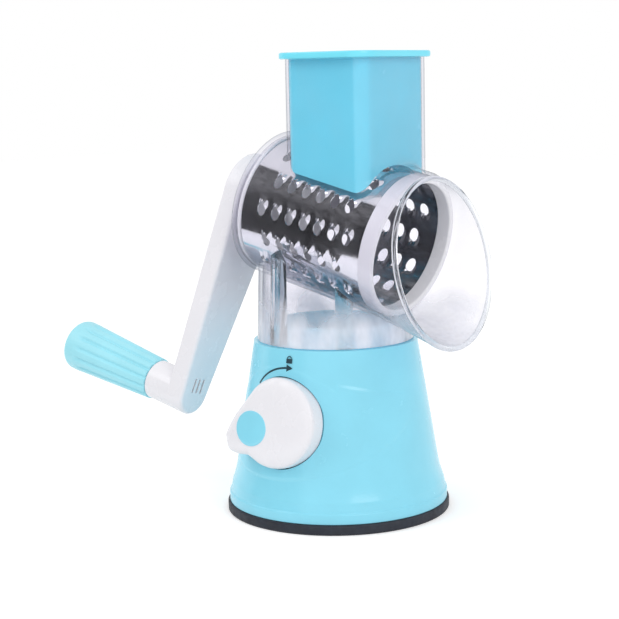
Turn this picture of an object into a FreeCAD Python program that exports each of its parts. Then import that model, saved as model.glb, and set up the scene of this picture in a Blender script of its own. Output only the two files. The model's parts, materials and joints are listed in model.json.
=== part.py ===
import FreeCAD, Part
import math
import os
import re

import Sketcher

# Rotary drum shredder: a suction foot, a clear housing, a perforated drum and a hand crank
# The drum axis tilts down towards the mouth; +X runs under it, -Y is the lock knob's side

os.makedirs("parts", exist_ok=True)
doc = FreeCAD.newDocument("shredder")
Vector = FreeCAD.Vector

SIZES = {
    # suction foot and base shell
    "foot_radius": 61.0,
    "foot_height": 5.5,
    "foot_land": 13.0,
    "land_slope": 2.0,
    "pad_bevel": 0.8,
    "pad_rim": 8.2,
    "membrane_lift": 0.8,
    "membrane_top": 3.2,
    "boss_radius": 10.0,
    "boss_top": 11.0,
    "skirt_inset": 1.1,
    "ridge_step": 0.4,
    "ridge_bevel": 1.5,
    "ridge_height": 11.5,
    "flare_step": 1.0,
    "flare_rise": 3.2,
    "waist_step": 3.1,
    "waist_height": 17.5,
    "deck_radius": 44.4,
    "deck_height": 94.4,
    "base_wall": 2.2,
    "edge_bevel": 0.6,
    "collar_radius": 33.6,
    "collar_height": 9.6,
    "lug_reach": 4.4,
    "lug_width": 16.0,
    "lug_height": 2.6,
    "lug_drop": 2.0,
    # clamp plate, its screws and the plunger
    "plate_thickness": 2.5,
    "plate_gap": 0.6,
    "cup_radius": 12.0,
    "cup_wall": 2.5,
    "cup_top": 22.0,
    "rod_radius": 5.0,
    "rod_foot_radius": 8.0,
    "rod_foot_height": 3.0,
    "yoke_width": 18.0,
    "yoke_depth": 9.0,
    "yoke_rise": 9.0,
    "yoke_top": 7.0,
    "yoke_root": 2.0,
    "yoke_corner": 1.5,
    "yoke_gap": 2.0,
    "spring_radius": 7.6,
    "spring_wire": 1.1,
    "post_radius": 4.0,
    "head_clearance": 3.6,
    "post_rise": 50.0,
    "screw_radius": 1.5,
    "screw_length": 11.0,
    "screw_head_radius": 3.2,
    "screw_head_height": 1.9,
    # lock knob
    "knob_height": 55.8,
    "knob_radius": 23.9,
    "knob_depth": 7.8,
    "knob_round": 4.5,
    "knob_gap": 0.5,
    "knob_rim": 2.4,
    "recess_depth": 6.0,
    "recess_play": 0.5,
    "skirt_play": 0.6,
    "paddle_reach": 32.0,
    "paddle_drop": 9.5,
    "paddle_tip": 7.3,
    "paddle_nose": 2.5,
    "paddle_heel": 3.5,
    "paddle_foot": 8.0,
    "paddle_sole": 18.8,
    "paddle_start": 115.0,
    "paddle_end": 240.0,
    "paddle_depth": 9.2,
    "paddle_round": 1.2,
    "inlay_radius": 9.3,
    "inlay_reach": 13.2,
    "inlay_angle": 18.0,
    "inlay_depth": 1.4,
    "inlay_rise": 0.4,
    "seat_rise": 2.0,
    "bearing_radius": 8.5,
    "bearing_length": 18.0,
    "shaft_radius": 5.0,
    "socket_cover": 2.4,
    "disc_radius": 8.5,
    "disc_thickness": 3.5,
    "pin_radius": 2.4,
    "pin_offset": 2.83,
    "pin_start": 45.0,
    "pin_length": 13.5,
    "pin_play": 0.35,
    "clip_radius": 7.8,
    "clip_thickness": 1.2,
    "clip_groove": 0.8,
    "clip_play": 0.1,
    # clear housing
    "axis_height": 158.07,
    "axis_tilt": 13.87,
    "barrel_radius": 40.2,
    "barrel_wall": 1.8,
    "barrel_rear": 40.0,
    "barrel_front": 50.0,
    "barrel_round": 4.0,
    "rear_wall": 2.2,
    "nose_radius": 14.0,
    "nose_length": 8.0,
    "neck_low_radius": 42.6,
    "neck_high_radius": 40.0,
    "neck_wall": 2.2,
    "shoulder_drop": 13.0,
    "rib_width": 9.0,
    "rib_depth": 3.6,
    "rib_lift": 1.0,
    "chute_length": 53.2,
    "chute_width": 63.2,
    "chute_centre": 16.2,
    "chute_corner": 8.5,
    "chute_wall": 1.6,
    "chute_top": 243.9,
    "lip_radius": 45.6,
    "lip_reach": 71.2,
    "lip_height": 138.4,
    "lip_lean": 10.3,
    "lip_wall": 2.0,
    "bush_radius": 10.5,
    "bush_flange": 13.0,
    "bush_flange_thickness": 1.6,
    "journal_radius": 7.5,
    # drum
    "drum_radius": 36.5,
    "drum_sheet": 0.6,
    "drum_rear": 34.5,
    "drum_front": 46.5,
    "tooth_pitch": 9.4,
    "tooth_first": -21.8,
    "tooth_radius": 2.7,
    "tooth_height": 1.1,
    "tooth_thickness": 0.45,
    "tooth_lean": 0.3,
    "tooth_rows": 14,
    "teeth_in_row": 7,
    "row_phase": 6.2,
    "ring_bore": 34.3,
    "ring_radius": 37.9,
    "ring_rear": 44.5,
    "ring_front": 52.6,
    "ring_bevel": 1.0,
    "hub_flange": 2.0,
    "hub_radius": 37.2,
    "spigot_length": 6.0,
    "hub_boss_radius": 12.0,
    "hub_boss_length": 15.0,
    "socket_flats": 12.0,
    "hex_play": 0.1,
    # crank and grip
    "crank_length": 119.0,
    "crank_angle": 15.1,
    "arm_rear": 62.0,
    "arm_thickness": 12.0,
    "arm_hub_radius": 21.3,
    "arm_end_radius": 11.4,
    "arm_bevel": 1.4,
    "drive_inset": 3.0,
    "arm_slot_inset": 10.0,
    "arm_slot_length": 8.5,
    "arm_slot_width": 1.3,
    "arm_slot_pitch": 3.6,
    "arm_slot_depth": 1.2,
    "arm_boss_length": 16.6,
    "arm_screw_radius": 5.0,
    "arm_screw_height": 1.8,
    "grip_length": 64.0,
    "grip_inner_radius": 12.0,
    "grip_outer_radius": 14.8,
    "grip_round": 3.0,
    "flute_count": 14,
    "flute_radius": 2.2,
    "flute_depth": 1.0,
    "flute_margin": 7.0,
    "flute_stop": 9.0,
    "grip_pin_radius": 3.5,
    "pin_head_step": 2.5,
    "pin_head_length": 2.0,
    "pin_head_gap": 0.5,
    "cap_radius": 9.0,
    "cap_thickness": 2.0,
    # pusher
    "pusher_flange": 3.4,
    "pusher_overhang": 3.2,
    "pusher_wall": 2.2,
    "pusher_lift": 4.4,
    # fits
    "running_fit": 0.06,
    "sliding_fit": 0.35,
    "snug_fit": 0.05,
}

sheet = doc.addObject("Spreadsheet::Sheet", "Sizes")
for row, (alias, number) in enumerate(SIZES.items(), start=1):
    sheet.set("A%d" % row, alias)
    sheet.set("B%d" % row, str(number))
    sheet.setAlias("B%d" % row, alias)
doc.recompute()


def size(alias):
    return float(sheet.get(alias))


def named(word):
    return "Sizes." + word if word in SIZES else word


def formula(text):
    """Puts the sheet's name before each size that a formula names."""
    return re.sub("[a-z_]+", lambda word: named(word.group()), text)


# Lines that several pieces share
SKIRT = "(foot_radius - skirt_inset)"
WAIST = "(foot_radius - skirt_inset - waist_step)"
CONE_SLOPE = "((%s - deck_radius) / (deck_height - waist_height))" % WAIST
KNOB_WALL = "(deck_radius + (deck_height - knob_height) * %s)" % CONE_SLOPE
CUP_INSIDE = "(cup_top - cup_wall)"
FOOT_LOW = "(membrane_top + membrane_lift)"
FOOT_TOP = "(membrane_top + membrane_lift + rod_foot_height)"
PLATE_RADIUS = "(%s - base_wall - plate_gap)" % SKIRT
POST_CIRCLE = "(foot_radius - pad_rim - screw_head_radius - head_clearance)"
KNOB_TO_CENTRE = "(%s * sqrt(1 + %s ^ 2))" % (KNOB_WALL, CONE_SLOPE)
SHAFT_LENGTH = "(%s - yoke_depth / 2 - yoke_gap - disc_thickness)" % KNOB_TO_CENTRE
YOKE_PIN = "(knob_height - %s * %s)" % (KNOB_WALL, CONE_SLOPE)
YOKE_LOW = "(%s - yoke_rise)" % YOKE_PIN
YOKE_HIGH = "(%s + yoke_top)" % YOKE_PIN
SLOT_LEFT = "(pin_offset + pin_radius + pin_play)"
SLOT_RIGHT = "(pin_radius + pin_play - pin_offset * sin(pin_start))"
SLOT_LOW = "(pin_offset * sin(pin_start) + pin_radius + pin_play)"
SLOT_HIGH = "(pin_offset * sin(pin_start) - pin_radius - pin_play)"
CLIP_FRONT = "(0 - bearing_length - clip_play)"
CLIP_REAR = "(0 - bearing_length - clip_play - clip_thickness)"
GROOVE_RADIUS = "(shaft_radius - clip_groove)"
SOCKET_TOP = "(knob_depth - socket_cover)"
SEAT_RADIUS = "(knob_radius - knob_rim - sliding_fit)"
SEAT_FLOOR = "(0 - recess_depth - base_wall)"
RECESS_RADIUS = "(knob_radius + recess_play)"
KNOB_FOOT = "(skirt_play - recess_depth)"
INLAY_X = "(0 - inlay_reach * cos(inlay_angle))"
INLAY_Y = "(0 - inlay_reach * sin(inlay_angle))"
REAR_FACE = "(rear_wall - barrel_rear)"
NOSE_END = "(0 - barrel_rear - nose_length)"
BARREL_BORE = "(barrel_radius - barrel_wall)"
CHUTE_HALF_LENGTH = "(chute_length / 2)"
SHEET_INSIDE = "(drum_radius - drum_sheet)"
HUB_REAR = "(0 - drum_rear - hub_flange)"
SOCKET_DEPTH = "(hub_boss_length - hub_flange)"
HEX_LENGTH = "(barrel_rear - rear_wall - drum_rear - hub_flange + %s - 1)" % SOCKET_DEPTH
ARM_FRONT = "(arm_rear - arm_thickness)"
BOSS_REAR = "(arm_rear + arm_boss_length)"
GRIP_FRONT = "(arm_rear + arm_boss_length + sliding_fit)"
GRIP_REAR = "(arm_rear + arm_boss_length + sliding_fit + grip_length)"
GRIP_X = "(crank_length * cos(crank_angle))"
GRIP_Y = "(0 - crank_length * sin(crank_angle))"
CAP_FLOOR = "(0 - %s + cap_thickness)" % GRIP_REAR
PIN_HEAD_REAR = "(%s - cap_thickness - pin_head_gap)" % GRIP_REAR
PIN_HEAD_FRONT = "(%s - cap_thickness - pin_head_gap - pin_head_length)" % GRIP_REAR
PIN_HEAD_RADIUS = "(grip_pin_radius + pin_head_step)"
TAPER_SINE = "((arm_hub_radius - arm_end_radius) / crank_length)"
TAPER_COSINE = "sqrt(1 - %s ^ 2)" % TAPER_SINE
PUSHER_CUT = "(drum_radius + pusher_lift)"
PUSHER_HALF_LENGTH = "(chute_length / 2 - chute_wall - sliding_fit)"
PUSHER_HALF_WIDTH = "(chute_width / 2 - chute_wall - sliding_fit)"
PUSHER_CORNER = "(chute_corner - chute_wall - sliding_fit)"
RIB_ANGLES = (-107.6, -47, 47, 107.6)
SCREW_ANGLES = (90, 210, 330)
LUG_COUNT = 2
MOUTH_SIDES = 48
TOOTH_SIDES = 6
LIP_SIDES = 2
PAST_ALL = "axis_height"
OVERCUT = "1"


def bind(item, prop, text):
    item.setExpression(prop, formula(text))


def on_arm(along, across):
    """A point of the crank's plane, measured along the arm from the drum's axis."""
    x = "(%s) * cos(crank_angle) + (%s) * sin(crank_angle)" % (along, across)
    y = "(%s) * cos(crank_angle) - (%s) * sin(crank_angle)" % (across, along)
    return x, y


def hexagon(flats):
    corner = "((%s) / 2 / cos(30))" % flats
    return [("%s * cos(%d)" % (corner, 60 * i), "%s * sin(%d)" % (corner, 60 * i))
            for i in range(6)]


def on_drum_axis(item):
    """Local z runs along the drum axis to the mouth and local x points down."""
    item.Placement = FreeCAD.Placement(Vector(0, 0, 0), FreeCAD.Rotation(Vector(0, 1, 0), 90))
    bind(item, "Placement.Base.z", "axis_height")
    bind(item, "Placement.Rotation.Angle", "90 + axis_tilt")
    return item


def on_knob_axis(item):
    """Local z runs out of the cone's wall through the knob and local y points up."""
    item.Placement = FreeCAD.Placement(Vector(0, 0, 0), FreeCAD.Rotation(Vector(1, 0, 0), 90))
    bind(item, "Placement.Base.y", "0 - " + KNOB_WALL)
    bind(item, "Placement.Base.z", "knob_height")
    bind(item, "Placement.Rotation.Angle", "90 - atan(%s) / 1 deg" % CONE_SLOPE)
    return item


def new_body(label):
    body = doc.addObject("PartDesign::Body", label)
    body.Label = label
    return body


def origin_plane(body, role):
    return next(f for f in body.Origin.OriginFeatures if f.Role == role)


def sketch_on(body, name, role, offset="0"):
    sketch = body.newObject("Sketcher::SketchObject", name)
    sketch.AttachmentSupport = (origin_plane(body, role), [""])
    sketch.MapMode = "FlatFace"
    bind(sketch, "AttachmentOffset.Base.z", offset)
    return sketch


def pin_down(sketch, geometry, point, x, y):
    """Ties one point of a sketch to two formulas measured from the origin."""
    for kind, text in (("DistanceX", x), ("DistanceY", y)):
        index = sketch.addConstraint(Sketcher.Constraint(kind, -1, 1, geometry, point, 1.0))
        bind(sketch, "Constraints[%d]" % index, text)


def add_outline(sketch, points):
    """A closed outline of straight lines through points given as formulas."""
    count = len(points)
    first = sketch.GeometryCount
    turn = 2 * math.pi / count
    start = [Vector(math.cos(i * turn), math.sin(i * turn), 0) for i in range(count)]
    for i in range(count):
        sketch.addGeometry(Part.LineSegment(start[i], start[(i + 1) % count]), False)
    for i in range(count):
        following = first + (i + 1) % count
        sketch.addConstraint(Sketcher.Constraint("Coincident", first + i, 2, following, 1))
    for i, (x, y) in enumerate(points):
        pin_down(sketch, first + i, 1, x, y)


def add_circle(sketch, x, y, radius):
    index = sketch.addGeometry(Part.Circle(Vector(0, 0, 0), Vector(0, 0, 1), 1.0), False)
    pin_down(sketch, index, 3, x, y)
    ring = sketch.addConstraint(Sketcher.Constraint("Radius", index, 1.0))
    bind(sketch, "Constraints[%d]" % ring, radius)


def revolve(body, name, points):
    """Turns an outline of (radius, height) formulas about the body's own z axis."""
    sketch = sketch_on(body, name + "_outline", "XZ_Plane")
    add_outline(sketch, points)
    turned_form = body.newObject("PartDesign::Revolution", name)
    turned_form.Profile = sketch
    turned_form.ReferenceAxis = (sketch, ["V_Axis"])
    turned_form.Angle = 360
    return turned_form


def pad(body, name, sketch, length, downwards=False):
    block = body.newObject("PartDesign::Pad", name)
    block.Profile = sketch
    bind(block, "Length", length)
    block.Reversed = downwards
    return block


def pocket(body, name, sketch, length, upwards=False):
    hollow = body.newObject("PartDesign::Pocket", name)
    hollow.Profile = sketch
    bind(hollow, "Length", length)
    hollow.Reversed = upwards
    doc.recompute()
    before = hollow.BaseFeature.Shape.Volume
    if hollow.Shape.Volume >= before:
        raise RuntimeError(name + " cuts nothing")
    return hollow


def picked_edges(body, chosen):
    """The newest feature of a body, with the names of its edges that the chooser picks."""
    doc.recompute()
    base = body.Tip
    return base, ["Edge%d" % (i + 1) for i, edge in enumerate(base.Shape.Edges) if chosen(edge)]


def round_edges(body, name, radius, chosen):
    picked = picked_edges(body, chosen)
    rounding = body.newObject("PartDesign::Fillet", name)
    rounding.Base = picked
    bind(rounding, "Radius", radius)
    return rounding


def bevel_edges(body, name, width, chosen):
    picked = picked_edges(body, chosen)
    bevel = body.newObject("PartDesign::Chamfer", name)
    bevel.Base = picked
    bind(bevel, "Size", width)
    return bevel


def pattern_round(body, name, feature, count, role="Z_Axis"):
    ring = body.newObject("PartDesign::PolarPattern", name)
    ring.Originals = [feature]
    ring.Axis = (next(f for f in body.Origin.OriginFeatures if f.Role == role), [""])
    ring.Angle = 360
    ring.Occurrences = count
    body.Tip = ring
    return ring


def cylinder(name, radius, height, low="0", x="0", y="0"):
    solid = doc.addObject("Part::Cylinder", name)
    bind(solid, "Radius", radius)
    bind(solid, "Height", height)
    bind(solid, "Placement.Base.x", x)
    bind(solid, "Placement.Base.y", y)
    bind(solid, "Placement.Base.z", low)
    return solid


def fuse(label, pieces):
    joined = doc.addObject("Part::MultiFuse", label)
    joined.Shapes = pieces
    joined.Label = label
    return joined


def cut(label, base, tool):
    left = doc.addObject("Part::Cut", label)
    left.Base = base
    left.Tool = tool
    left.Label = label
    return left


def common(label, base, tool):
    """What two solids share."""
    shared = doc.addObject("Part::Common", label)
    shared.Base = base
    shared.Tool = tool
    shared.Label = label
    return shared


def round_bar(label, radius, low, high):
    """A plain cylinder body between two heights on its own axis."""
    body = new_body(label)
    revolve(body, label + "_turned", [("0", low), (radius, low), (radius, high), ("0", high)])
    return body


def box_body(label, x_half, y_half, low, high, x="0", y="0", corner=None):
    """A block centred on x and y between two heights, with rounded upright edges."""
    body = new_body(label)
    sketch = sketch_on(body, label + "_outline", "XY_Plane", low)
    left, right = "%s - (%s)" % (x, x_half), "%s + (%s)" % (x, x_half)
    near, far = "%s - (%s)" % (y, y_half), "%s + (%s)" % (y, y_half)
    add_outline(sketch, [(left, near), (right, near), (right, far), (left, far)])
    pad(body, label + "_block", sketch, "( %s ) - ( %s )" % (high, low))
    if corner:
        round_edges(body, label + "_corners", corner, is_upright)
    return body


def is_upright(edge):
    return isinstance(edge.Curve, Part.Line) and edge.BoundBox.ZLength > 1


def is_level(edge):
    return edge.BoundBox.ZLength < 0.01


finished = []


def finish(item, label=None):
    if label:
        item.Label = label
    finished.append(item)
    return item


# Suction pad: a rubber dish whose raised boss holds the plunger's foot
suction_pad = new_body("suction_pad")
revolve(suction_pad, "pad_turned", [
    ("0", "membrane_lift"),
    ("foot_radius - foot_land - land_slope", "membrane_lift"),
    ("foot_radius - foot_land", "0"),
    ("foot_radius - pad_bevel", "0"),
    ("foot_radius", "pad_bevel"),
    ("foot_radius", "foot_height"),
    ("foot_radius - pad_rim", "foot_height"),
    ("foot_radius - pad_rim", "membrane_top"),
    ("boss_radius", "membrane_top"),
    ("boss_radius", "boss_top"),
    ("rod_radius + snug_fit", "boss_top"),
    ("rod_radius + snug_fit", FOOT_TOP + " + snug_fit"),
    ("rod_foot_radius + snug_fit", FOOT_TOP + " + snug_fit"),
    ("rod_foot_radius + snug_fit", FOOT_LOW),
    ("0", FOOT_LOW),
])
finish(suction_pad)

# Clamp plate: closes the base on the pad's rim and guides the plunger through its cup
clamp_plate = new_body("clamp_plate")
revolve(clamp_plate, "plate_turned", [
    ("cup_radius", "foot_height"),
    (PLATE_RADIUS, "foot_height"),
    (PLATE_RADIUS, "foot_height + plate_thickness"),
    ("cup_radius + cup_wall", "foot_height + plate_thickness"),
    ("cup_radius + cup_wall", "cup_top"),
    ("rod_radius + running_fit", "cup_top"),
    ("rod_radius + running_fit", CUP_INSIDE),
    ("cup_radius", CUP_INSIDE),
])
plate_hole_outline = sketch_on(clamp_plate, "plate_hole_outline", "XY_Plane", "foot_height - " + OVERCUT)
add_circle(plate_hole_outline, "0", POST_CIRCLE, "screw_radius + snug_fit")
plate_hole = pocket(clamp_plate, "plate_hole", plate_hole_outline,
                    "plate_thickness + 2 * " + OVERCUT, True)
pattern_round(clamp_plate, "plate_holes", plate_hole, len(SCREW_ANGLES))
finish(clamp_plate)


def on_post_circle(angle):
    return "%s * cos(%d)" % (POST_CIRCLE, angle), "%s * sin(%d)" % (POST_CIRCLE, angle)


# Plate screws: alike, driven up through the plate into the base's posts
screw_pieces = []
for i, angle in enumerate(SCREW_ANGLES):
    x, y = on_post_circle(angle)
    head_low = "foot_height - screw_head_height"
    screw_pieces.append(cylinder(
        "screw_head_%d" % i, "screw_head_radius", "screw_head_height", head_low, x, y))
    screw_pieces.append(cylinder(
        "screw_shank_%d" % i, "screw_radius", "screw_length", "foot_height", x, y))
finish(fuse("plate_screws", screw_pieces))

# Suction plunger: foot in the pad, rod through the guide, slotted yoke round the cam pin
plunger_turned = new_body("plunger_turned")
revolve(plunger_turned, "plunger_profile", [
    ("0", FOOT_LOW),
    ("rod_foot_radius", FOOT_LOW),
    ("rod_foot_radius", FOOT_TOP),
    ("rod_radius", FOOT_TOP),
    ("rod_radius", YOKE_LOW),
    ("0", YOKE_LOW),
])
yoke = box_body("yoke", "yoke_width / 2", "yoke_depth / 2", YOKE_LOW + " - yoke_root", YOKE_HIGH,
                corner="yoke_corner")
yoke_slot = new_body("yoke_slot")
slot_outline = sketch_on(yoke_slot, "slot_outline", "XY_Plane",
                         "0 - %s - yoke_depth" % KNOB_TO_CENTRE)
add_outline(slot_outline, [
    ("0 - " + SLOT_LEFT, "0 - " + SLOT_LOW), (SLOT_RIGHT, "0 - " + SLOT_LOW),
    (SLOT_RIGHT, "0 - " + SLOT_HIGH), ("0 - " + SLOT_LEFT, "0 - " + SLOT_HIGH)])
pad(yoke_slot, "slot_block", slot_outline, "2 * yoke_depth")
on_knob_axis(yoke_slot)
plunger_whole = fuse("plunger_whole", [plunger_turned, yoke])
finish(cut("suction_plunger", plunger_whole, yoke_slot))

# Return spring: pushes the pad's boss down off the guide's ceiling
spring_core = size("spring_radius")
spring_low = size("boss_top")
spring_length = size("cup_top") - size("cup_wall") - spring_low
spring_sleeve = Part.makeCylinder(spring_core, spring_length, Vector(0, 0, spring_low))
spring_bore = Part.makeCylinder(
    spring_core - size("spring_wire"), spring_length, Vector(0, 0, spring_low))
return_spring = doc.addObject("Part::Feature", "return_spring")
return_spring.Shape = spring_sleeve.cut(spring_bore)
finish(return_spring)

# Base shell: a hollow cone with a flared foot, a deck, a collar with lugs and the knob's seat
base_turned = new_body("base_turned")
revolve(base_turned, "base_profile", [
    (SKIRT + " - base_wall", "foot_height"),
    (SKIRT, "foot_height"),
    (SKIRT, "ridge_height - ridge_bevel"),
    (SKIRT + " - ridge_step", "ridge_height"),
    (WAIST + " + flare_step", "waist_height - flare_rise"),
    (WAIST, "waist_height"),
    ("deck_radius + edge_bevel * " + CONE_SLOPE, "deck_height - edge_bevel"),
    ("deck_radius - edge_bevel", "deck_height"),
    ("collar_radius", "deck_height"),
    ("collar_radius", "deck_height + collar_height"),
    ("collar_radius - base_wall", "deck_height + collar_height"),
    ("collar_radius - base_wall", "deck_height"),
    ("0", "deck_height"),
    ("0", "deck_height - base_wall"),
    ("deck_radius - base_wall", "deck_height - base_wall"),
    (WAIST + " - base_wall", "waist_height"),
    (SKIRT + " - base_wall", "ridge_height"),
])
lug_outline = sketch_on(base_turned, "lug_outline", "XY_Plane",
                        "deck_height + collar_height - lug_drop - lug_height")
add_outline(lug_outline, [
    ("collar_radius - base_wall / 2", "0 - lug_width / 2"),
    ("collar_radius + lug_reach", "0 - lug_width / 2"),
    ("collar_radius + lug_reach", "lug_width / 2"),
    ("collar_radius - base_wall / 2", "lug_width / 2")])
lug = pad(base_turned, "lug", lug_outline, "lug_height")
doc.recompute()
pattern_round(base_turned, "lugs", lug, LUG_COUNT)
posts = []
pilots = []
for i, angle in enumerate(SCREW_ANGLES):
    x, y = on_post_circle(angle)
    posts.append(cylinder("post_%d" % i, "post_radius", "post_rise",
                          "foot_height + plate_thickness", x, y))
    pilots.append(cylinder("pilot_%d" % i, "screw_radius + running_fit",
                           "screw_length + " + OVERCUT, "foot_height", x, y))
knob_seat = new_body("knob_seat")
revolve(knob_seat, "seat_profile", [
    ("0", "0 - bearing_length"),
    ("bearing_radius", "0 - bearing_length"),
    ("bearing_radius", SEAT_FLOOR),
    (SEAT_RADIUS, SEAT_FLOOR),
    (SEAT_RADIUS, "seat_rise"),
    ("0", "seat_rise"),
])
on_knob_axis(knob_seat)

# The knob sinks into a round tub whose wall ends inside the cone's own wall
tub_bar = on_knob_axis(round_bar("tub_bar", RECESS_RADIUS + " + base_wall", SEAT_FLOOR, "knob_radius"))
cone_room = new_body("cone_room")
revolve(cone_room, "cone_room_profile", [
    ("0", "waist_height"),
    (WAIST + " - base_wall / 2", "waist_height"),
    ("deck_radius - base_wall / 2", "deck_height - base_wall"),
    ("0", "deck_height - base_wall"),
])
knob_tub = common("knob_tub", tub_bar, cone_room)
knob_recess = new_body("knob_recess")
revolve(knob_recess, "recess_profile", [
    (SEAT_RADIUS, "0 - recess_depth"),
    (RECESS_RADIUS, "0 - recess_depth"),
    (RECESS_RADIUS, "knob_radius"),
    (SEAT_RADIUS, "knob_radius"),
])
on_knob_axis(knob_recess)
base_solid = fuse("base_solid", [base_turned, knob_tub, knob_seat] + posts)
base_recessed = cut("base_recessed", base_solid, knob_recess)
shaft_bore = round_bar("shaft_bore", "shaft_radius + running_fit",
                       "0 - bearing_length - " + OVERCUT, "seat_rise + " + OVERCUT)
on_knob_axis(shaft_bore)
finish(cut("base_shell", base_recessed, fuse("base_holes", [shaft_bore] + pilots)))

# Lock knob: a hollow disc whose skirt runs in the recess, with a paddle for the coloured inlay
knob_body = new_body("knob_body")
revolve(knob_body, "knob_disc", [
    ("0", KNOB_FOOT),
    ("knob_radius", KNOB_FOOT),
    ("knob_radius", "knob_depth - knob_round"),
    ("knob_radius - knob_round * 0.3", "knob_depth - knob_round * 0.3"),
    ("knob_radius - knob_round", "knob_depth"),
    ("0", "knob_depth"),
])
paddle_outline = sketch_on(knob_body, "paddle_outline", "XY_Plane", "knob_gap")
add_outline(paddle_outline, [
    ("(knob_radius - paddle_round) * cos(paddle_start)",
     "(knob_radius - paddle_round) * sin(paddle_start)"),
    ("0 - paddle_reach + paddle_nose", "2 * paddle_nose - paddle_drop"),
    ("0 - paddle_reach", "0 - paddle_drop"),
    ("0 - paddle_reach + paddle_heel", "0 - paddle_drop - paddle_tip"),
    ("0 - paddle_reach + paddle_foot", "0 - paddle_sole"),
    ("(knob_radius - paddle_round) * cos(paddle_end)",
     "(knob_radius - paddle_round) * sin(paddle_end)"),
    ("paddle_round", "0 - knob_radius / 2"),
    ("paddle_round", "knob_radius / 2"),
])
pad(knob_body, "paddle", paddle_outline, "paddle_depth - knob_gap")
bevel_edges(knob_body, "paddle_bevel", "paddle_round",
            lambda edge: edge.BoundBox.ZMin > size("paddle_depth") - 0.1)
under_outline = sketch_on(knob_body, "under_outline", "XY_Plane", KNOB_FOOT)
add_circle(under_outline, "0", "0", "knob_radius - knob_rim")
pocket(knob_body, "knob_underside", under_outline, "seat_rise + knob_gap - " + KNOB_FOOT, True)
inlay_outline = sketch_on(knob_body, "inlay_outline", "XY_Plane", "paddle_depth - inlay_depth")
add_circle(inlay_outline, INLAY_X, INLAY_Y, "inlay_radius")
pocket(knob_body, "inlay_recess", inlay_outline, "inlay_depth + " + OVERCUT, True)
socket_outline = sketch_on(knob_body, "socket_outline", "XY_Plane", "0")
add_circle(socket_outline, "0", "0", "shaft_radius + snug_fit")
pocket(knob_body, "shaft_socket", socket_outline, SOCKET_TOP + " + snug_fit", True)
on_knob_axis(knob_body)
finish(knob_body, "lock_knob")

# Knob inlay: a coloured disc set flush in the paddle
inlay_body = new_body("knob_inlay")
inlay_disc = sketch_on(inlay_body, "inlay_disc_outline", "XY_Plane",
                       "paddle_depth - inlay_depth + snug_fit")
add_circle(inlay_disc, INLAY_X, INLAY_Y, "inlay_radius - snug_fit")
pad(inlay_body, "inlay_disc", inlay_disc, "inlay_depth + inlay_rise - snug_fit")
bevel_edges(inlay_body, "inlay_bevel", "inlay_rise",
            lambda edge: edge.BoundBox.ZMin > size("paddle_depth"))
on_knob_axis(inlay_body)
finish(inlay_body)

# Knob shaft: turns in the seat and lifts the yoke with an off-centre pin
knob_shaft = new_body("knob_shaft")
revolve(knob_shaft, "shaft_profile", [
    ("0", "0 - %s - disc_thickness" % SHAFT_LENGTH),
    ("disc_radius", "0 - %s - disc_thickness" % SHAFT_LENGTH),
    ("disc_radius", "0 - " + SHAFT_LENGTH),
    ("shaft_radius", "0 - " + SHAFT_LENGTH),
    ("shaft_radius", CLIP_REAR),
    (GROOVE_RADIUS, CLIP_REAR),
    (GROOVE_RADIUS, CLIP_FRONT),
    ("shaft_radius", CLIP_FRONT),
    ("shaft_radius", SOCKET_TOP),
    ("0", SOCKET_TOP),
])
pin_outline = sketch_on(knob_shaft, "pin_outline", "XY_Plane",
                        "0 - %s - disc_thickness" % SHAFT_LENGTH)
add_circle(pin_outline, "0 - pin_offset * cos(pin_start)", "0 - pin_offset * sin(pin_start)",
           "pin_radius")
pad(knob_shaft, "cam_pin", pin_outline, "pin_length", True)
on_knob_axis(knob_shaft)
finish(knob_shaft)

# Shaft clip: a ring in the shaft's groove against the seat's inner end
shaft_clip = new_body("shaft_clip")
revolve(shaft_clip, "clip_profile", [
    (GROOVE_RADIUS + " + snug_fit", CLIP_REAR + " + snug_fit"),
    ("clip_radius", CLIP_REAR + " + snug_fit"),
    ("clip_radius", CLIP_FRONT + " - snug_fit"),
    (GROOVE_RADIUS + " + snug_fit", CLIP_FRONT + " - snug_fit"),
])
on_knob_axis(shaft_clip)
finish(shaft_clip)

# Barrel: the clear tube round the drum, closed at the rear by a nose that carries the bush
barrel_tube = new_body("barrel_tube")
revolve(barrel_tube, "barrel_profile", [
    ("bush_radius + snug_fit", "0 - barrel_rear - nose_length"),
    ("nose_radius", "0 - barrel_rear - nose_length"),
    ("nose_radius", "0 - barrel_rear"),
    ("barrel_radius - barrel_round", "0 - barrel_rear"),
    ("barrel_radius - barrel_round * 0.3", "0 - barrel_rear + barrel_round * 0.3"),
    ("barrel_radius", "0 - barrel_rear + barrel_round"),
    ("barrel_radius", "barrel_front"),
    (BARREL_BORE, "barrel_front"),
    (BARREL_BORE, "0 - barrel_rear + rear_wall"),
    ("bush_radius + snug_fit", "0 - barrel_rear + rear_wall"),
])
on_drum_axis(barrel_tube)
chute_way = box_body("chute_way", CHUTE_HALF_LENGTH + " - chute_wall",
                     "chute_width / 2 - chute_wall", "axis_height", "chute_top", "chute_centre",
                     corner="chute_corner - chute_wall")
finish(cut("housing_barrel", barrel_tube, chute_way))

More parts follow.
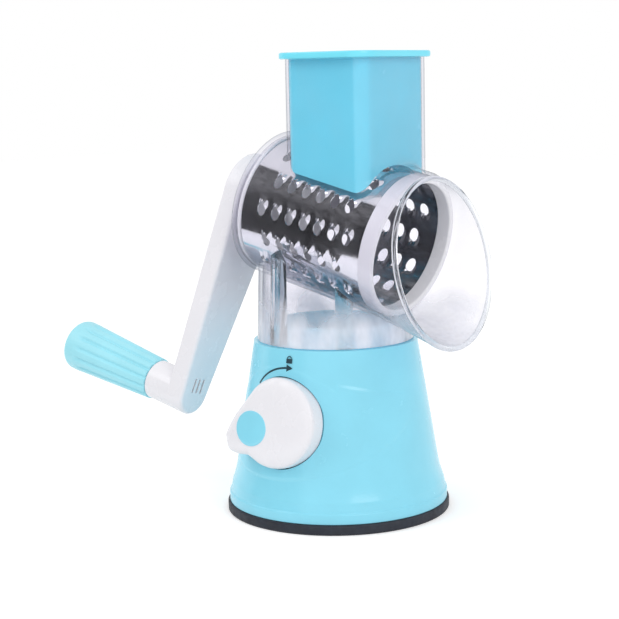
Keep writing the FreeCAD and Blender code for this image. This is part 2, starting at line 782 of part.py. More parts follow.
# Feed chute: a clear rectangular tube that stands on the barrel
chute_outside = box_body("chute_outside", CHUTE_HALF_LENGTH, "chute_width / 2", "axis_height",
                         "chute_top", "chute_centre", corner="chute_corner")
chute_inside = box_body("chute_inside", CHUTE_HALF_LENGTH + " - chute_wall",
                        "chute_width / 2 - chute_wall", "axis_height - " + OVERCUT,
                        "chute_top + " + OVERCUT, "chute_centre",
                        corner="chute_corner - chute_wall")
barrel_outside = on_drum_axis(round_bar("barrel_outside", "barrel_radius", "0 - " + PAST_ALL,
                                        PAST_ALL))
finish(cut("feed_chute", chute_outside, fuse("chute_cuts", [chute_inside, barrel_outside])))

# Neck: the clear skirt that stands on the base's deck and carries the barrel
neck_turned = new_body("neck_turned")
revolve(neck_turned, "neck_profile", [
    ("neck_low_radius - neck_wall", "deck_height"),
    ("neck_low_radius", "deck_height"),
    ("neck_high_radius", "axis_height"),
    ("neck_high_radius - neck_wall", "axis_height"),
])
rib_band = new_body("rib_band")
revolve(rib_band, "rib_band_profile", [
    ("neck_high_radius - neck_wall - rib_depth", "deck_height + rib_lift"),
    ("neck_low_radius - neck_wall / 2", "deck_height + rib_lift"),
    ("neck_high_radius - neck_wall / 2", "axis_height"),
    ("neck_high_radius - neck_wall - rib_depth", "axis_height"),
])
slabs = []
for i, angle in enumerate(RIB_ANGLES):
    slab = new_body("rib_slab_%d" % i)
    slab_outline = sketch_on(slab, "rib_slab_outline_%d" % i, "XY_Plane", "deck_height")
    add_outline(slab_outline, [
        ("neck_high_radius / 2", "0 - rib_width / 2"),
        ("neck_low_radius", "0 - rib_width / 2"),
        ("neck_low_radius", "rib_width / 2"),
        ("neck_high_radius / 2", "rib_width / 2")])
    pad(slab, "rib_slab_block_%d" % i, slab_outline, "axis_height - deck_height")
    slab.Placement = FreeCAD.Placement(Vector(0, 0, 0), FreeCAD.Rotation(Vector(0, 0, 1), angle))
    slabs.append(slab)
neck_ribs = common("neck_ribs", rib_band, fuse("rib_slabs", slabs))
above_shoulder = new_body("above_shoulder")
shoulder_outline = sketch_on(above_shoulder, "shoulder_outline", "XY_Plane", "0 - " + PAST_ALL)
add_outline(shoulder_outline, [
    ("0 - " + PAST_ALL, "0 - " + PAST_ALL), ("shoulder_drop", "0 - " + PAST_ALL),
    ("shoulder_drop", PAST_ALL), ("0 - " + PAST_ALL, PAST_ALL)])
pad(above_shoulder, "shoulder_block", shoulder_outline, "2 * " + PAST_ALL)
on_drum_axis(above_shoulder)
barrel_seat = on_drum_axis(round_bar("barrel_seat", "barrel_radius", "0 - " + PAST_ALL,
                                     "barrel_front"))


def ring_line(name, radius, sides):
    """A circle, or a ring of short sides where a number of them is given."""
    if sides:
        ring = doc.addObject("Part::RegularPolygon", name)
        ring.Polygon = sides
        bind(ring, "Circumradius", radius)
    else:
        ring = doc.addObject("Part::Circle", name)
        bind(ring, "Radius", radius)
    return ring


def barrel_end(name, radius, sides):
    """A ring where the barrel ends."""
    ring = ring_line(name, radius, sides)
    turn = FreeCAD.Rotation(Vector(0, 1, 0), 90)
    ring.Placement = FreeCAD.Placement(Vector(0, 0, 0), turn)
    bind(ring, "Placement.Base.x", "barrel_front * cos(axis_tilt)")
    bind(ring, "Placement.Base.z", "axis_height - barrel_front * sin(axis_tilt)")
    bind(ring, "Placement.Rotation.Angle", "90 + axis_tilt")
    return ring


def mouth_lip(name, radius, sides):
    """A ring in the mouth's own plane, which leans back."""
    ring = ring_line(name, radius, sides)
    turn = FreeCAD.Rotation(Vector(0, 1, 0), 90)
    ring.Placement = FreeCAD.Placement(Vector(0, 0, 0), turn)
    bind(ring, "Placement.Base.x", "lip_reach")
    bind(ring, "Placement.Base.z", "lip_height")
    bind(ring, "Placement.Rotation.Angle", "90 - lip_lean")
    return ring


def funnel(name, rear_radius, front_radius, sides=None):
    loft = doc.addObject("Part::Loft", name)
    loft.Sections = [barrel_end(name + "_rear", rear_radius, sides),
                     mouth_lip(name + "_lip", front_radius, sides)]
    loft.Solid = True
    loft.Ruled = True
    return loft


# Mouth: the clear funnel from the barrel's end to the leaning lip
mouth_outside = funnel("mouth_outside", "barrel_radius", "lip_radius", MOUTH_SIDES)
mouth_inside = funnel("mouth_inside", BARREL_BORE, "lip_radius - lip_wall", MOUTH_SIDES)
finish(cut("discharge_mouth", mouth_outside, mouth_inside))
mouth_room = funnel("mouth_room", "barrel_radius", "lip_radius")
neck_whole = fuse("neck_whole", [neck_turned, neck_ribs])
neck_below = cut("neck_below", neck_whole, above_shoulder)
neck_saddled = cut("neck_saddled", neck_below, barrel_seat)
finish(cut("housing_neck", neck_saddled, mouth_room))

# Bush: the journal's sleeve in the barrel's nose
drum_bush = new_body("drum_bush")
revolve(drum_bush, "bush_profile", [
    ("journal_radius + running_fit", NOSE_END + " - bush_flange_thickness"),
    ("bush_flange", NOSE_END + " - bush_flange_thickness"),
    ("bush_flange", NOSE_END),
    ("bush_radius", NOSE_END),
    ("bush_radius", REAR_FACE),
    ("journal_radius + running_fit", REAR_FACE),
])
on_drum_axis(drum_bush)
finish(drum_bush)


def row_points(row):
    """Where the teeth of one row lie along the drum; every second row is set half a pitch on."""
    odd = row % 2
    first = size("tooth_first") + odd * size("tooth_pitch") / 2
    count = int(size("teeth_in_row")) - odd
    return [first + i * size("tooth_pitch") for i in range(count)]


def tooth_frame(row, along):
    """Local z points out of the drum, local x along it and local y round it."""
    angle = size("row_phase") + row * 360 / size("tooth_rows")
    outward = Vector(-math.sin(math.radians(angle)), -math.cos(math.radians(angle)), 0)
    lengthways = Vector(0, 0, 1)
    return FreeCAD.Placement(
        outward * size("drum_radius") + Vector(0, 0, along),
        FreeCAD.Rotation(lengthways, outward.cross(lengthways), outward, "ZXY"))


def tooth_ring(radius, height):
    """A closed ring of the tooth's corners at one height."""
    step = 2 * math.pi / TOOTH_SIDES
    return [Vector(radius * math.cos(i * step), radius * math.sin(i * step), height)
            for i in range(TOOTH_SIDES + 1)]


def tooth_hole():
    """The punched hole: a six-sided prism through the sheet."""
    depth = 2 * size("tooth_height")
    face = Part.Face(Part.makePolygon(tooth_ring(size("tooth_radius"), -depth)))
    return face.extrude(Vector(0, 0, 2 * depth))


def tooth_lip():
    """The raised edge: a half ring of the sheet bent outwards round the hole."""
    root, top = -size("drum_sheet") / 2, size("tooth_height")
    foot_radius = size("tooth_radius")
    crest_radius = foot_radius - size("tooth_lean")
    thickness = size("tooth_thickness")
    inner_low = tooth_ring(foot_radius, root)[:LIP_SIDES + 1]
    outer_low = tooth_ring(foot_radius + 2 * thickness, root)[:LIP_SIDES + 1]
    inner_high = tooth_ring(crest_radius, top)[:LIP_SIDES + 1]
    outer_high = tooth_ring(crest_radius + thickness, top)[:LIP_SIDES + 1]

    def ring(low, high):
        return Part.makePolygon(low + high[::-1] + [low[0]])

    faces = []
    for i in range(LIP_SIDES):
        for lower, upper in ((inner_low, inner_high), (inner_high, outer_high),
                             (outer_high, outer_low), (outer_low, inner_low)):
            faces.append(Part.Face(Part.makePolygon(
                [lower[i], lower[i + 1], upper[i + 1], upper[i], lower[i]])))
    for i in (0, LIP_SIDES):
        faces.append(Part.Face(Part.makePolygon(
            [inner_low[i], inner_high[i], outer_high[i], outer_low[i], inner_low[i]])))
    solid = Part.Solid(Part.Shell(faces))
    if solid.Volume < 0:
        solid.reverse()
    return solid


# Drum sheet: a perforated steel tube with a raised cutting lip at every hole
drum_length = size("drum_front") + size("drum_rear")
drum_low = Vector(0, 0, -size("drum_rear"))
sheet_tube = Part.makeCylinder(size("drum_radius"), drum_length, drum_low).cut(
    Part.makeCylinder(size("drum_radius") - size("drum_sheet"), drum_length, drum_low))
hole, lip = tooth_hole(), tooth_lip()
lips, holes = [], []
for row in range(int(size("tooth_rows"))):
    for along in row_points(row):
        place = tooth_frame(row, along)
        lips.append(lip.transformed(place.toMatrix()))
        holes.append(hole.transformed(place.toMatrix()))
drum_sheet = doc.addObject("Part::Feature", "drum_sheet")
drum_sheet.Shape = sheet_tube.fuse(lips).cut(holes)
on_drum_axis(drum_sheet)
finish(drum_sheet)

# Front ring: the white rim that the drum's sheet is set into
front_ring = new_body("drum_front_ring")
revolve(front_ring, "ring_profile", [
    ("ring_bore", "ring_rear"),
    (SHEET_INSIDE + " - snug_fit", "ring_rear"),
    (SHEET_INSIDE + " - snug_fit", "drum_front + snug_fit"),
    ("drum_radius + snug_fit", "drum_front + snug_fit"),
    ("drum_radius + snug_fit", "ring_rear"),
    ("ring_radius", "ring_rear"),
    ("ring_radius", "ring_front - ring_bevel"),
    ("ring_radius - ring_bevel", "ring_front"),
    ("ring_bore", "ring_front"),
])
on_drum_axis(front_ring)
finish(front_ring)

# Rear hub: closes the drum and takes the drive in a six-sided socket
rear_hub = new_body("drum_rear_hub")
revolve(rear_hub, "hub_profile", [
    ("0", HUB_REAR),
    ("hub_radius", HUB_REAR),
    ("hub_radius", "0 - drum_rear"),
    (SHEET_INSIDE + " - snug_fit", "0 - drum_rear"),
    (SHEET_INSIDE + " - snug_fit", "0 - drum_rear + spigot_length"),
    (SHEET_INSIDE + " - hub_flange", "0 - drum_rear + spigot_length"),
    (SHEET_INSIDE + " - hub_flange", "0 - drum_rear"),
    ("hub_boss_radius", "0 - drum_rear"),
    ("hub_boss_radius", HUB_REAR + " + hub_boss_length"),
    ("0", HUB_REAR + " + hub_boss_length"),
])
socket_shape = sketch_on(rear_hub, "hex_outline", "XY_Plane", HUB_REAR)
add_outline(socket_shape, hexagon("socket_flats"))
pocket(rear_hub, "hex_socket", socket_shape, SOCKET_DEPTH, True)
on_drum_axis(rear_hub)
finish(rear_hub)

# Drive shaft: pressed into the arm, turns in the bush and drives the hub with its hexagon
drive_shaft = new_body("drive_shaft")
revolve(drive_shaft, "drive_profile", [
    ("0", "0 - arm_rear + drive_inset"),
    ("journal_radius", "0 - arm_rear + drive_inset"),
    ("journal_radius", REAR_FACE),
    ("0", REAR_FACE),
])
drive_hex = sketch_on(drive_shaft, "drive_hex_outline", "XY_Plane", REAR_FACE)
add_outline(drive_hex, hexagon("socket_flats - 2 * hex_play"))
pad(drive_shaft, "drive_hex", drive_hex, HEX_LENGTH)
on_drum_axis(drive_shaft)
finish(drive_shaft)

# Crank arm: a tapered bar with a boss for the grip's pin and three short slots
arm = new_body("arm_body")
for name, x, y, radius in (("arm_hub", "0", "0", "arm_hub_radius"),
                           ("arm_end", GRIP_X, GRIP_Y, "arm_end_radius")):
    outline = sketch_on(arm, name + "_outline", "XY_Plane", "0 - arm_rear")
    add_circle(outline, x, y, radius)
    pad(arm, name, outline, "arm_thickness")
bar_outline = sketch_on(arm, "arm_bar_outline", "XY_Plane", "0 - arm_rear")
add_outline(bar_outline, [
    on_arm("arm_hub_radius * " + TAPER_SINE, "arm_hub_radius * " + TAPER_COSINE),
    on_arm("arm_hub_radius * " + TAPER_SINE, "0 - arm_hub_radius * " + TAPER_COSINE),
    on_arm("crank_length + arm_end_radius * " + TAPER_SINE,
           "0 - arm_end_radius * " + TAPER_COSINE),
    on_arm("crank_length + arm_end_radius * " + TAPER_SINE, "arm_end_radius * " + TAPER_COSINE),
])
pad(arm, "arm_bar", bar_outline, "arm_thickness")
bevel_edges(arm, "arm_bevelled", "arm_bevel", is_level)
boss_outline = sketch_on(arm, "boss_outline", "XY_Plane", "0 - " + BOSS_REAR)
add_circle(boss_outline, GRIP_X, GRIP_Y, "arm_end_radius")
pad(arm, "grip_boss", boss_outline, "arm_boss_length + arm_thickness / 2")
pin_hole = sketch_on(arm, "pin_hole_outline", "XY_Plane", "0 - %s - %s" % (BOSS_REAR, OVERCUT))
add_circle(pin_hole, GRIP_X, GRIP_Y, "grip_pin_radius + snug_fit")
pocket(arm, "pin_hole", pin_hole, "arm_boss_length + " + OVERCUT, True)
drive_hole = sketch_on(arm, "drive_hole_outline", "XY_Plane",
                       "0 - arm_rear + drive_inset - snug_fit")
add_circle(drive_hole, "0", "0", "journal_radius + snug_fit")
pocket(arm, "drive_hole", drive_hole, "arm_thickness", True)
for i in (-1, 0, 1):
    slot = sketch_on(arm, "arm_slot_outline_%d" % (i + 2), "XY_Plane",
                     "0 - " + ARM_FRONT + " - arm_slot_depth")
    middle = "%d * arm_slot_pitch" % i
    near, far = "%s - arm_slot_width / 2" % middle, "%s + arm_slot_width / 2" % middle
    low = "crank_length - arm_slot_inset"
    high = low + " + arm_slot_length"
    add_outline(slot, [on_arm(low, near), on_arm(high, near), on_arm(high, far), on_arm(low, far)])
    pocket(arm, "arm_slot_%d" % (i + 2), slot, "arm_slot_depth + " + OVERCUT, True)
on_drum_axis(arm)
finish(arm, "crank_arm")

# Crank screw: holds the drive shaft to the arm from outside
crank_screw = new_body("crank_screw")
revolve(crank_screw, "crank_screw_profile", [
    ("0", "0 - arm_rear - arm_screw_height"),
    ("arm_screw_radius - edge_bevel", "0 - arm_rear - arm_screw_height"),
    ("arm_screw_radius", "0 - arm_rear - arm_screw_height + edge_bevel"),
    ("arm_screw_radius", "0 - arm_rear"),
    ("0", "0 - arm_rear"),
])
on_drum_axis(crank_screw)
finish(crank_screw)

# Grip pin: pressed into the arm's boss, with a head that keeps the grip on
grip_pin = new_body("grip_pin")
for name, radius, rear, front in (
        ("pin_shank", "grip_pin_radius", PIN_HEAD_FRONT, "arm_rear + pin_head_gap"),
        ("pin_head", PIN_HEAD_RADIUS, PIN_HEAD_REAR, PIN_HEAD_FRONT)):
    outline = sketch_on(grip_pin, name + "_outline", "XY_Plane", "0 - (" + rear + ")")
    add_circle(outline, GRIP_X, GRIP_Y, radius)
    pad(grip_pin, name, outline, "(%s) - (%s)" % (rear, front))
on_drum_axis(grip_pin)
finish(grip_pin)

# Grip: a fluted sleeve that widens outwards and turns on the pin
grip_turned = new_body("grip_turned")
revolve(grip_turned, "grip_profile", [
    ("grip_pin_radius + running_fit", "0 - " + GRIP_FRONT),
    ("grip_inner_radius - edge_bevel", "0 - " + GRIP_FRONT),
    ("grip_inner_radius", "0 - %s - edge_bevel" % GRIP_FRONT),
    ("grip_outer_radius", "0 - %s + grip_round" % GRIP_REAR),
    ("grip_outer_radius - grip_round * 0.3", "0 - %s + grip_round * 0.3" % GRIP_REAR),
    ("grip_outer_radius - grip_round", "0 - " + GRIP_REAR),
    ("cap_radius + snug_fit", "0 - " + GRIP_REAR),
    ("cap_radius + snug_fit", CAP_FLOOR),
    (PIN_HEAD_RADIUS + " + sliding_fit", CAP_FLOOR),
    (PIN_HEAD_RADIUS + " + sliding_fit", "running_fit - " + PIN_HEAD_FRONT),
    ("grip_pin_radius + running_fit", "running_fit - " + PIN_HEAD_FRONT),
])
grip_lean = math.atan2(size("grip_outer_radius") - size("grip_inner_radius"), size("grip_length"))
flute_start = size("arm_rear") + size("arm_boss_length") + size("flute_margin")
flute_span = size("grip_length") - size("flute_margin") - size("flute_stop")
flute_rise = size("flute_radius") - size("flute_depth")
flutes = []
for i in range(int(size("flute_count"))):
    angle = i * 2 * math.pi / size("flute_count")
    outward = Vector(math.cos(angle), math.sin(angle), 0)
    sideways = Vector(-math.sin(angle), math.cos(angle), 0)
    run = outward * math.sin(grip_lean) + Vector(0, 0, -math.cos(grip_lean))
    centre = outward * (size("grip_inner_radius") + flute_rise) + Vector(0, 0, -flute_start)
    square = [centre + step * size("flute_radius")
              for step in (outward, sideways, -outward, -sideways, outward)]
    flutes.append(Part.Face(Part.makePolygon(square)).extrude(run * flute_span))
grip_flutes = doc.addObject("Part::Feature", "grip_flutes")
grip_flutes.Shape = Part.makeCompound(flutes)
grip_fluted = cut("grip_fluted", grip_turned, grip_flutes)


def set_on_crank(item):
    """Moves a piece made on its own axis out to the end of the crank."""
    tilt = FreeCAD.Rotation(Vector(0, 1, 0), 90 + size("axis_tilt"))
    angle = math.radians(size("crank_angle"))
    reach = Vector(math.cos(angle), -math.sin(angle), 0) * size("crank_length")
    centre = Vector(0, 0, size("axis_height")) + tilt.multVec(reach)
    item.Placement = FreeCAD.Placement(centre, tilt)
    return item


finish(set_on_crank(grip_fluted), "grip")

# Grip cap: closes the recess over the pin's head
grip_cap = new_body("grip_cap")
revolve(grip_cap, "cap_profile", [
    ("0", "0 - " + GRIP_REAR),
    ("cap_radius", "0 - " + GRIP_REAR),
    ("cap_radius", CAP_FLOOR),
    ("0", CAP_FLOOR),
])
finish(set_on_crank(grip_cap))

# Pusher: a hollow plunger with a flange; its underside follows the drum
pusher_core = box_body("pusher_core", PUSHER_HALF_LENGTH, PUSHER_HALF_WIDTH, "axis_height",
                       "chute_top + pusher_flange / 2", "chute_centre", corner=PUSHER_CORNER)
flange_plate = box_body("flange_plate", CHUTE_HALF_LENGTH + " + pusher_overhang",
                        "chute_width / 2 + pusher_overhang", "chute_top",
                        "chute_top + pusher_flange", "chute_centre",
                        corner="chute_corner + pusher_overhang")
bevel_edges(flange_plate, "flange_bevel", "edge_bevel", is_level)
drum_room = on_drum_axis(round_bar("drum_room", PUSHER_CUT, "0 - " + PAST_ALL, PAST_ALL))
pusher_well = box_body("pusher_well", PUSHER_HALF_LENGTH + " - pusher_wall",
                       PUSHER_HALF_WIDTH + " - pusher_wall", "axis_height",
                       "chute_top + pusher_flange + " + OVERCUT, "chute_centre",
                       corner=PUSHER_CORNER + " / 2")
well_floor = on_drum_axis(round_bar("well_floor", PUSHER_CUT + " + pusher_wall", "0 - " + PAST_ALL,
                                    PAST_ALL))
well = cut("well_hollow", pusher_well, well_floor)
pusher_whole = fuse("pusher_whole", [pusher_core, flange_plate])
finish(cut("pusher", pusher_whole, fuse("pusher_cuts", [drum_room, well])))

doc.recompute()

failed = [item.Name for item in doc.Objects if "Invalid" in item.State or "Error" in item.State]
if failed:
    raise RuntimeError("failed: " + ", ".join(failed))
for item in finished:
    if item.Shape.isNull() or not item.Shape.isValid():
        raise RuntimeError(item.Label + " has no valid shape")
for item in finished:
    item.Shape.exportStep("parts/%s.step" % item.Label)
    print(item.Label, len(item.Shape.Solids), round(item.Shape.Volume, 1))
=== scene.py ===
import json
import math

import bmesh
import bpy
from mathutils import Matrix, Vector


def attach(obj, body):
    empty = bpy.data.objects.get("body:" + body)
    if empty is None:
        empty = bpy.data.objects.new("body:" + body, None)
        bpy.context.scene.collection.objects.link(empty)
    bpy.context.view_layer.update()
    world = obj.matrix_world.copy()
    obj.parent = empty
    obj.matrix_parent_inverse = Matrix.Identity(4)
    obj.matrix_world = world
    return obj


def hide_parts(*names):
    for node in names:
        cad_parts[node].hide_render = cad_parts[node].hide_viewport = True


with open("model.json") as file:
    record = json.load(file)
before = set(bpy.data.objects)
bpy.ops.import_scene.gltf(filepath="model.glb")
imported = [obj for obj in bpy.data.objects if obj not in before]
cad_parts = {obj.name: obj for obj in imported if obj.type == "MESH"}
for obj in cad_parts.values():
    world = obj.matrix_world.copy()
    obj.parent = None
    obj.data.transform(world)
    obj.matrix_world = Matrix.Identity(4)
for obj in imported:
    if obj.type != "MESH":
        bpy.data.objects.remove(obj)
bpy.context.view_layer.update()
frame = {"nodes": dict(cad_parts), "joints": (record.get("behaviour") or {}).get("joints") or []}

# Rotary drum shredder. Lengths are millimetres in each part's own frame, and a frame's matrix
# takes them to metres in the row's frame
scene = bpy.context.scene
MM = 0.001
ROUND_STEPS = 160


def joint(name):
    return next(j for j in frame["joints"] if j["name"] == name)


def local_frame(origin, outward, across):
    """Local z points outward and local x as near to across as it can."""
    z = Vector(outward).normalized()
    x = (Vector(across) - z * z.dot(Vector(across))).normalized()
    turned = Matrix((x, z.cross(x), z)).transposed().to_4x4()
    return Matrix.Translation(origin) @ turned @ Matrix.Scale(MM, 4)


SPIN = joint("crank_spin")
KNOB_TURN = joint("lock_turn")
DRUM_AXIS = Vector(SPIN["axis"])
DRUM_CENTRE = Vector(SPIN["pos_m"])
GRIP_POINT = Vector(joint("grip_spin")["pos_m"])
GRIP_ORIGIN = GRIP_POINT - DRUM_AXIS * (GRIP_POINT - DRUM_CENTRE).dot(DRUM_AXIS)
DOWN = (0, 0, -1)
STAND = Matrix.Scale(MM, 4)
DRUM = local_frame(DRUM_CENTRE, DRUM_AXIS, DOWN)
GRIP = local_frame(GRIP_ORIGIN, DRUM_AXIS, DOWN)
KNOB = local_frame(KNOB_TURN["pos_m"], -Vector(KNOB_TURN["axis"]), (1, 0, 0))
AXIS_HEIGHT = DRUM_CENTRE.z / MM
TILT = math.atan2(-DRUM_AXIS.z, DRUM_AXIS.x)


# Camera: the photograph's viewpoint
CAMERA_PLACE = (0.489966, -0.673327, 0.235192)
CAMERA_HEADING = math.radians(37.0)
CAMERA_PITCH = math.radians(8.59)
CAMERA_ROLL = math.radians(1.23)
CAMERA_LENS = 89.98


def make_camera():
    data = bpy.data.cameras.new("camera")
    camera = bpy.data.objects.new("camera", data)
    scene.collection.objects.link(camera)
    ahead = Vector((-math.sin(CAMERA_HEADING) * math.cos(CAMERA_PITCH),
                    math.cos(CAMERA_HEADING) * math.cos(CAMERA_PITCH),
                    -math.sin(CAMERA_PITCH)))
    right = ahead.cross(Vector((0, 0, 1))).normalized()
    up = right.cross(ahead)
    rolled_right = right * math.cos(CAMERA_ROLL) - up * math.sin(CAMERA_ROLL)
    rolled_up = right * math.sin(CAMERA_ROLL) + up * math.cos(CAMERA_ROLL)
    turned = Matrix((rolled_right, rolled_up, -ahead)).transposed().to_4x4()
    camera.matrix_world = Matrix.Translation(CAMERA_PLACE) @ turned
    data.lens = CAMERA_LENS
    data.sensor_width = 36
    data.clip_start = 0.01
    data.clip_end = 30
    scene.camera = camera


make_camera()


# Materials
def link(tree, source, target):
    tree.links.new(source, target)


def new_material(name):
    material = bpy.data.materials.new(name)
    material.use_nodes = True
    tree = material.node_tree
    shader = tree.nodes["Principled BSDF"]
    return material, tree, shader


def noise_of(tree, scale, detail=4.0, stretch=None):
    """Noise in the object's own space, stretched along an axis when asked."""
    place = tree.nodes.new("ShaderNodeTexCoord")
    field = tree.nodes.new("ShaderNodeTexNoise")
    field.inputs["Scale"].default_value = scale
    field.inputs["Detail"].default_value = detail
    source = place.outputs["Object"]
    if stretch:
        mapping = tree.nodes.new("ShaderNodeMapping")
        mapping.inputs["Scale"].default_value = stretch
        link(tree, source, mapping.inputs["Vector"])
        source = mapping.outputs["Vector"]
    link(tree, source, field.inputs["Vector"])
    return field.outputs["Fac"]


def ranged(tree, value, low, high, start=0.3, end=0.7):
    scaled = tree.nodes.new("ShaderNodeMapRange")
    scaled.inputs["From Min"].default_value = start
    scaled.inputs["From Max"].default_value = end
    scaled.inputs["To Min"].default_value = low
    scaled.inputs["To Max"].default_value = high
    link(tree, value, scaled.inputs["Value"])
    return scaled.outputs["Result"]


def blended(tree, value, first, second):
    mix = tree.nodes.new("ShaderNodeMix")
    mix.data_type = "RGBA"
    mix.inputs["A"].default_value = (*first, 1)
    mix.inputs["B"].default_value = (*second, 1)
    link(tree, value, mix.inputs["Factor"])
    return mix.outputs["Result"]


def bumped(tree, shader, height, strength, depth):
    bump = tree.nodes.new("ShaderNodeBump")
    bump.inputs["Strength"].default_value = strength
    bump.inputs["Distance"].default_value = depth
    link(tree, height, bump.inputs["Height"])
    link(tree, bump.outputs["Normal"], shader.inputs["Normal"])


def shade(colour, factor):
    return tuple(min(1.0, c * factor) for c in colour)


def moulded(name, colour, roughness, skin=0.25, mottle=0.035, glow=0.0):
    """Moulded plastic: a faint mottling, an uneven gloss and the skin of the mould."""
    material, tree, shader = new_material(name)
    cloud = ranged(tree, noise_of(tree, 35), 0, 1)
    paler = shade(colour, 1 + mottle)
    deeper = shade(colour, 1 - mottle)
    link(tree, blended(tree, cloud, deeper, paler), shader.inputs["Base Color"])
    gloss = ranged(tree, noise_of(tree, 90), roughness * 0.8, roughness * 1.25)
    link(tree, gloss, shader.inputs["Roughness"])
    bumped(tree, shader, noise_of(tree, 900, 2.0), skin, 0.00002)
    shader.inputs["IOR"].default_value = 1.5
    shader.inputs["Subsurface Weight"].default_value = glow
    shader.inputs["Subsurface Radius"].default_value = (0.004, 0.004, 0.004)
    shader.inputs["Subsurface Scale"].default_value = 0.5
    return material


def polished_metal(name, colour, roughness, stretch):
    """Polished sheet: fine rolling lines and small changes of gloss."""
    material, tree, shader = new_material(name)
    streaks = noise_of(tree, 260, 3.0, stretch)
    cloud = ranged(tree, noise_of(tree, 60), 0, 1)
    link(tree, blended(tree, cloud, shade(colour, 0.93), colour), shader.inputs["Base Color"])
    link(tree, ranged(tree, streaks, roughness * 0.7, roughness * 1.5),
         shader.inputs["Roughness"])
    bumped(tree, shader, streaks, 0.15, 0.00002)
    shader.inputs["Metallic"].default_value = 1.0
    return material


def rubber(name, colour):
    """Soft rubber: a matt, slightly dusty skin."""
    material, tree, shader = new_material(name)
    dust = ranged(tree, noise_of(tree, 160), 0, 1)
    link(tree, blended(tree, dust, colour, shade(colour, 1.5)), shader.inputs["Base Color"])
    link(tree, ranged(tree, noise_of(tree, 300), 0.5, 0.72), shader.inputs["Roughness"])
    bumped(tree, shader, noise_of(tree, 1500, 3.0), 0.5, 0.00004)
    return material


def facing_power(tree, power):
    """0 where a surface faces the eye, rising to 1 where it turns away."""
    facing = tree.nodes.new("ShaderNodeLayerWeight")
    facing.inputs["Blend"].default_value = 0.5
    curve = tree.nodes.new("ShaderNodeMath")
    curve.operation = "POWER"
    curve.inputs[1].default_value = power
    link(tree, facing.outputs["Facing"], curve.inputs[0])
    return curve.outputs["Value"]


def mixed(tree, factor, first, second):
    mix = tree.nodes.new("ShaderNodeMixShader")
    link(tree, factor, mix.inputs["Fac"])
    link(tree, first, mix.inputs[1])
    link(tree, second, mix.inputs[2])
    return mix.outputs["Shader"]


def height_of(tree, low, high):
    """0 at the low height and 1 at the high one, in the object's own space."""
    place = tree.nodes.new("ShaderNodeTexCoord")
    apart = tree.nodes.new("ShaderNodeSeparateXYZ")
    link(tree, place.outputs["Object"], apart.inputs["Vector"])
    return ranged(tree, apart.outputs["Z"], 0, 1, low, high)


def clear_moulding(name, tint, painted_edge_shade, milk):
    """Clear plastic: see-through, with painted shade greying it where it turns away, milky and
    mottled in the neck.
    """
    material, tree, shader = new_material(name)
    output = tree.nodes["Material Output"]
    shader.inputs["Base Color"].default_value = (*milk, 1)
    shader.inputs["Roughness"].default_value = 0.35
    open_way = tree.nodes.new("ShaderNodeBsdfTransparent")
    # painted shade: the see-through colour greys where the surface turns from the eye, standing in
    # for the dark rims that bent light gives
    link(tree, blended(tree, facing_power(tree, 3.0), tint, painted_edge_shade), open_way.inputs["Color"])
    haze = tree.nodes.new("ShaderNodeMapRange")
    haze.inputs["To Min"].default_value = NECK_HAZE
    haze.inputs["To Max"].default_value = CLEAR_HAZE
    link(tree, height_of(tree, HAZE_LOW, HAZE_HIGH), haze.inputs["Value"])
    cloud = ranged(tree, noise_of(tree, 60, 3.0, (1, 1, 0.5)), 0.35, 1.65)
    uneven = tree.nodes.new("ShaderNodeMath")
    uneven.operation = "MULTIPLY"
    link(tree, haze.outputs["Result"], uneven.inputs[0])
    link(tree, cloud, uneven.inputs[1])
    body = mixed(tree, uneven.outputs["Value"], open_way.outputs["BSDF"], shader.outputs["BSDF"])
    gloss = tree.nodes.new("ShaderNodeBsdfGlossy")
    gloss.inputs["Roughness"].default_value = 0.03
    bumped(tree, gloss, noise_of(tree, 40, 2.0), 0.08, 0.0002)
    mirror = ranged(tree, facing_power(tree, 5.0), 0.02, 0.75, 0, 1)
    lit_way = tree.nodes.new("ShaderNodeBsdfTransparent")
    lit_way.inputs["Color"].default_value = (0.99, 0.99, 1.0, 1)
    path = tree.nodes.new("ShaderNodeLightPath")
    seen = mixed(tree, mirror, body, gloss.outputs["BSDF"])
    way = mixed(tree, path.outputs["Is Shadow Ray"], seen, lit_way.outputs["BSDF"])
    link(tree, way, output.inputs["Surface"])
    return material


def thick_clear(name, tint):
    """Thick clear plastic, where the light bends: the mouth's rim and the neck's ribs."""
    material, tree, shader = new_material(name)
    output = tree.nodes["Material Output"]
    link(tree, blended(tree, ranged(tree, noise_of(tree, 60), 0, 1), tint, shade(tint, 0.97)),
         shader.inputs["Base Color"])
    shader.inputs["Transmission Weight"].default_value = 1.0
    shader.inputs["IOR"].default_value = 1.4
    link(tree, ranged(tree, noise_of(tree, 50), 0.0, 0.05), shader.inputs["Roughness"])
    bumped(tree, shader, noise_of(tree, 120, 2.0), 0.12, 0.0004)
    open_way = tree.nodes.new("ShaderNodeBsdfTransparent")
    open_way.inputs["Color"].default_value = (*tint, 1)
    path = tree.nodes.new("ShaderNodeLightPath")
    way = mixed(tree, path.outputs["Is Shadow Ray"], shader.outputs["BSDF"],
                open_way.outputs["BSDF"])
    link(tree, way, output.inputs["Surface"])
    return material


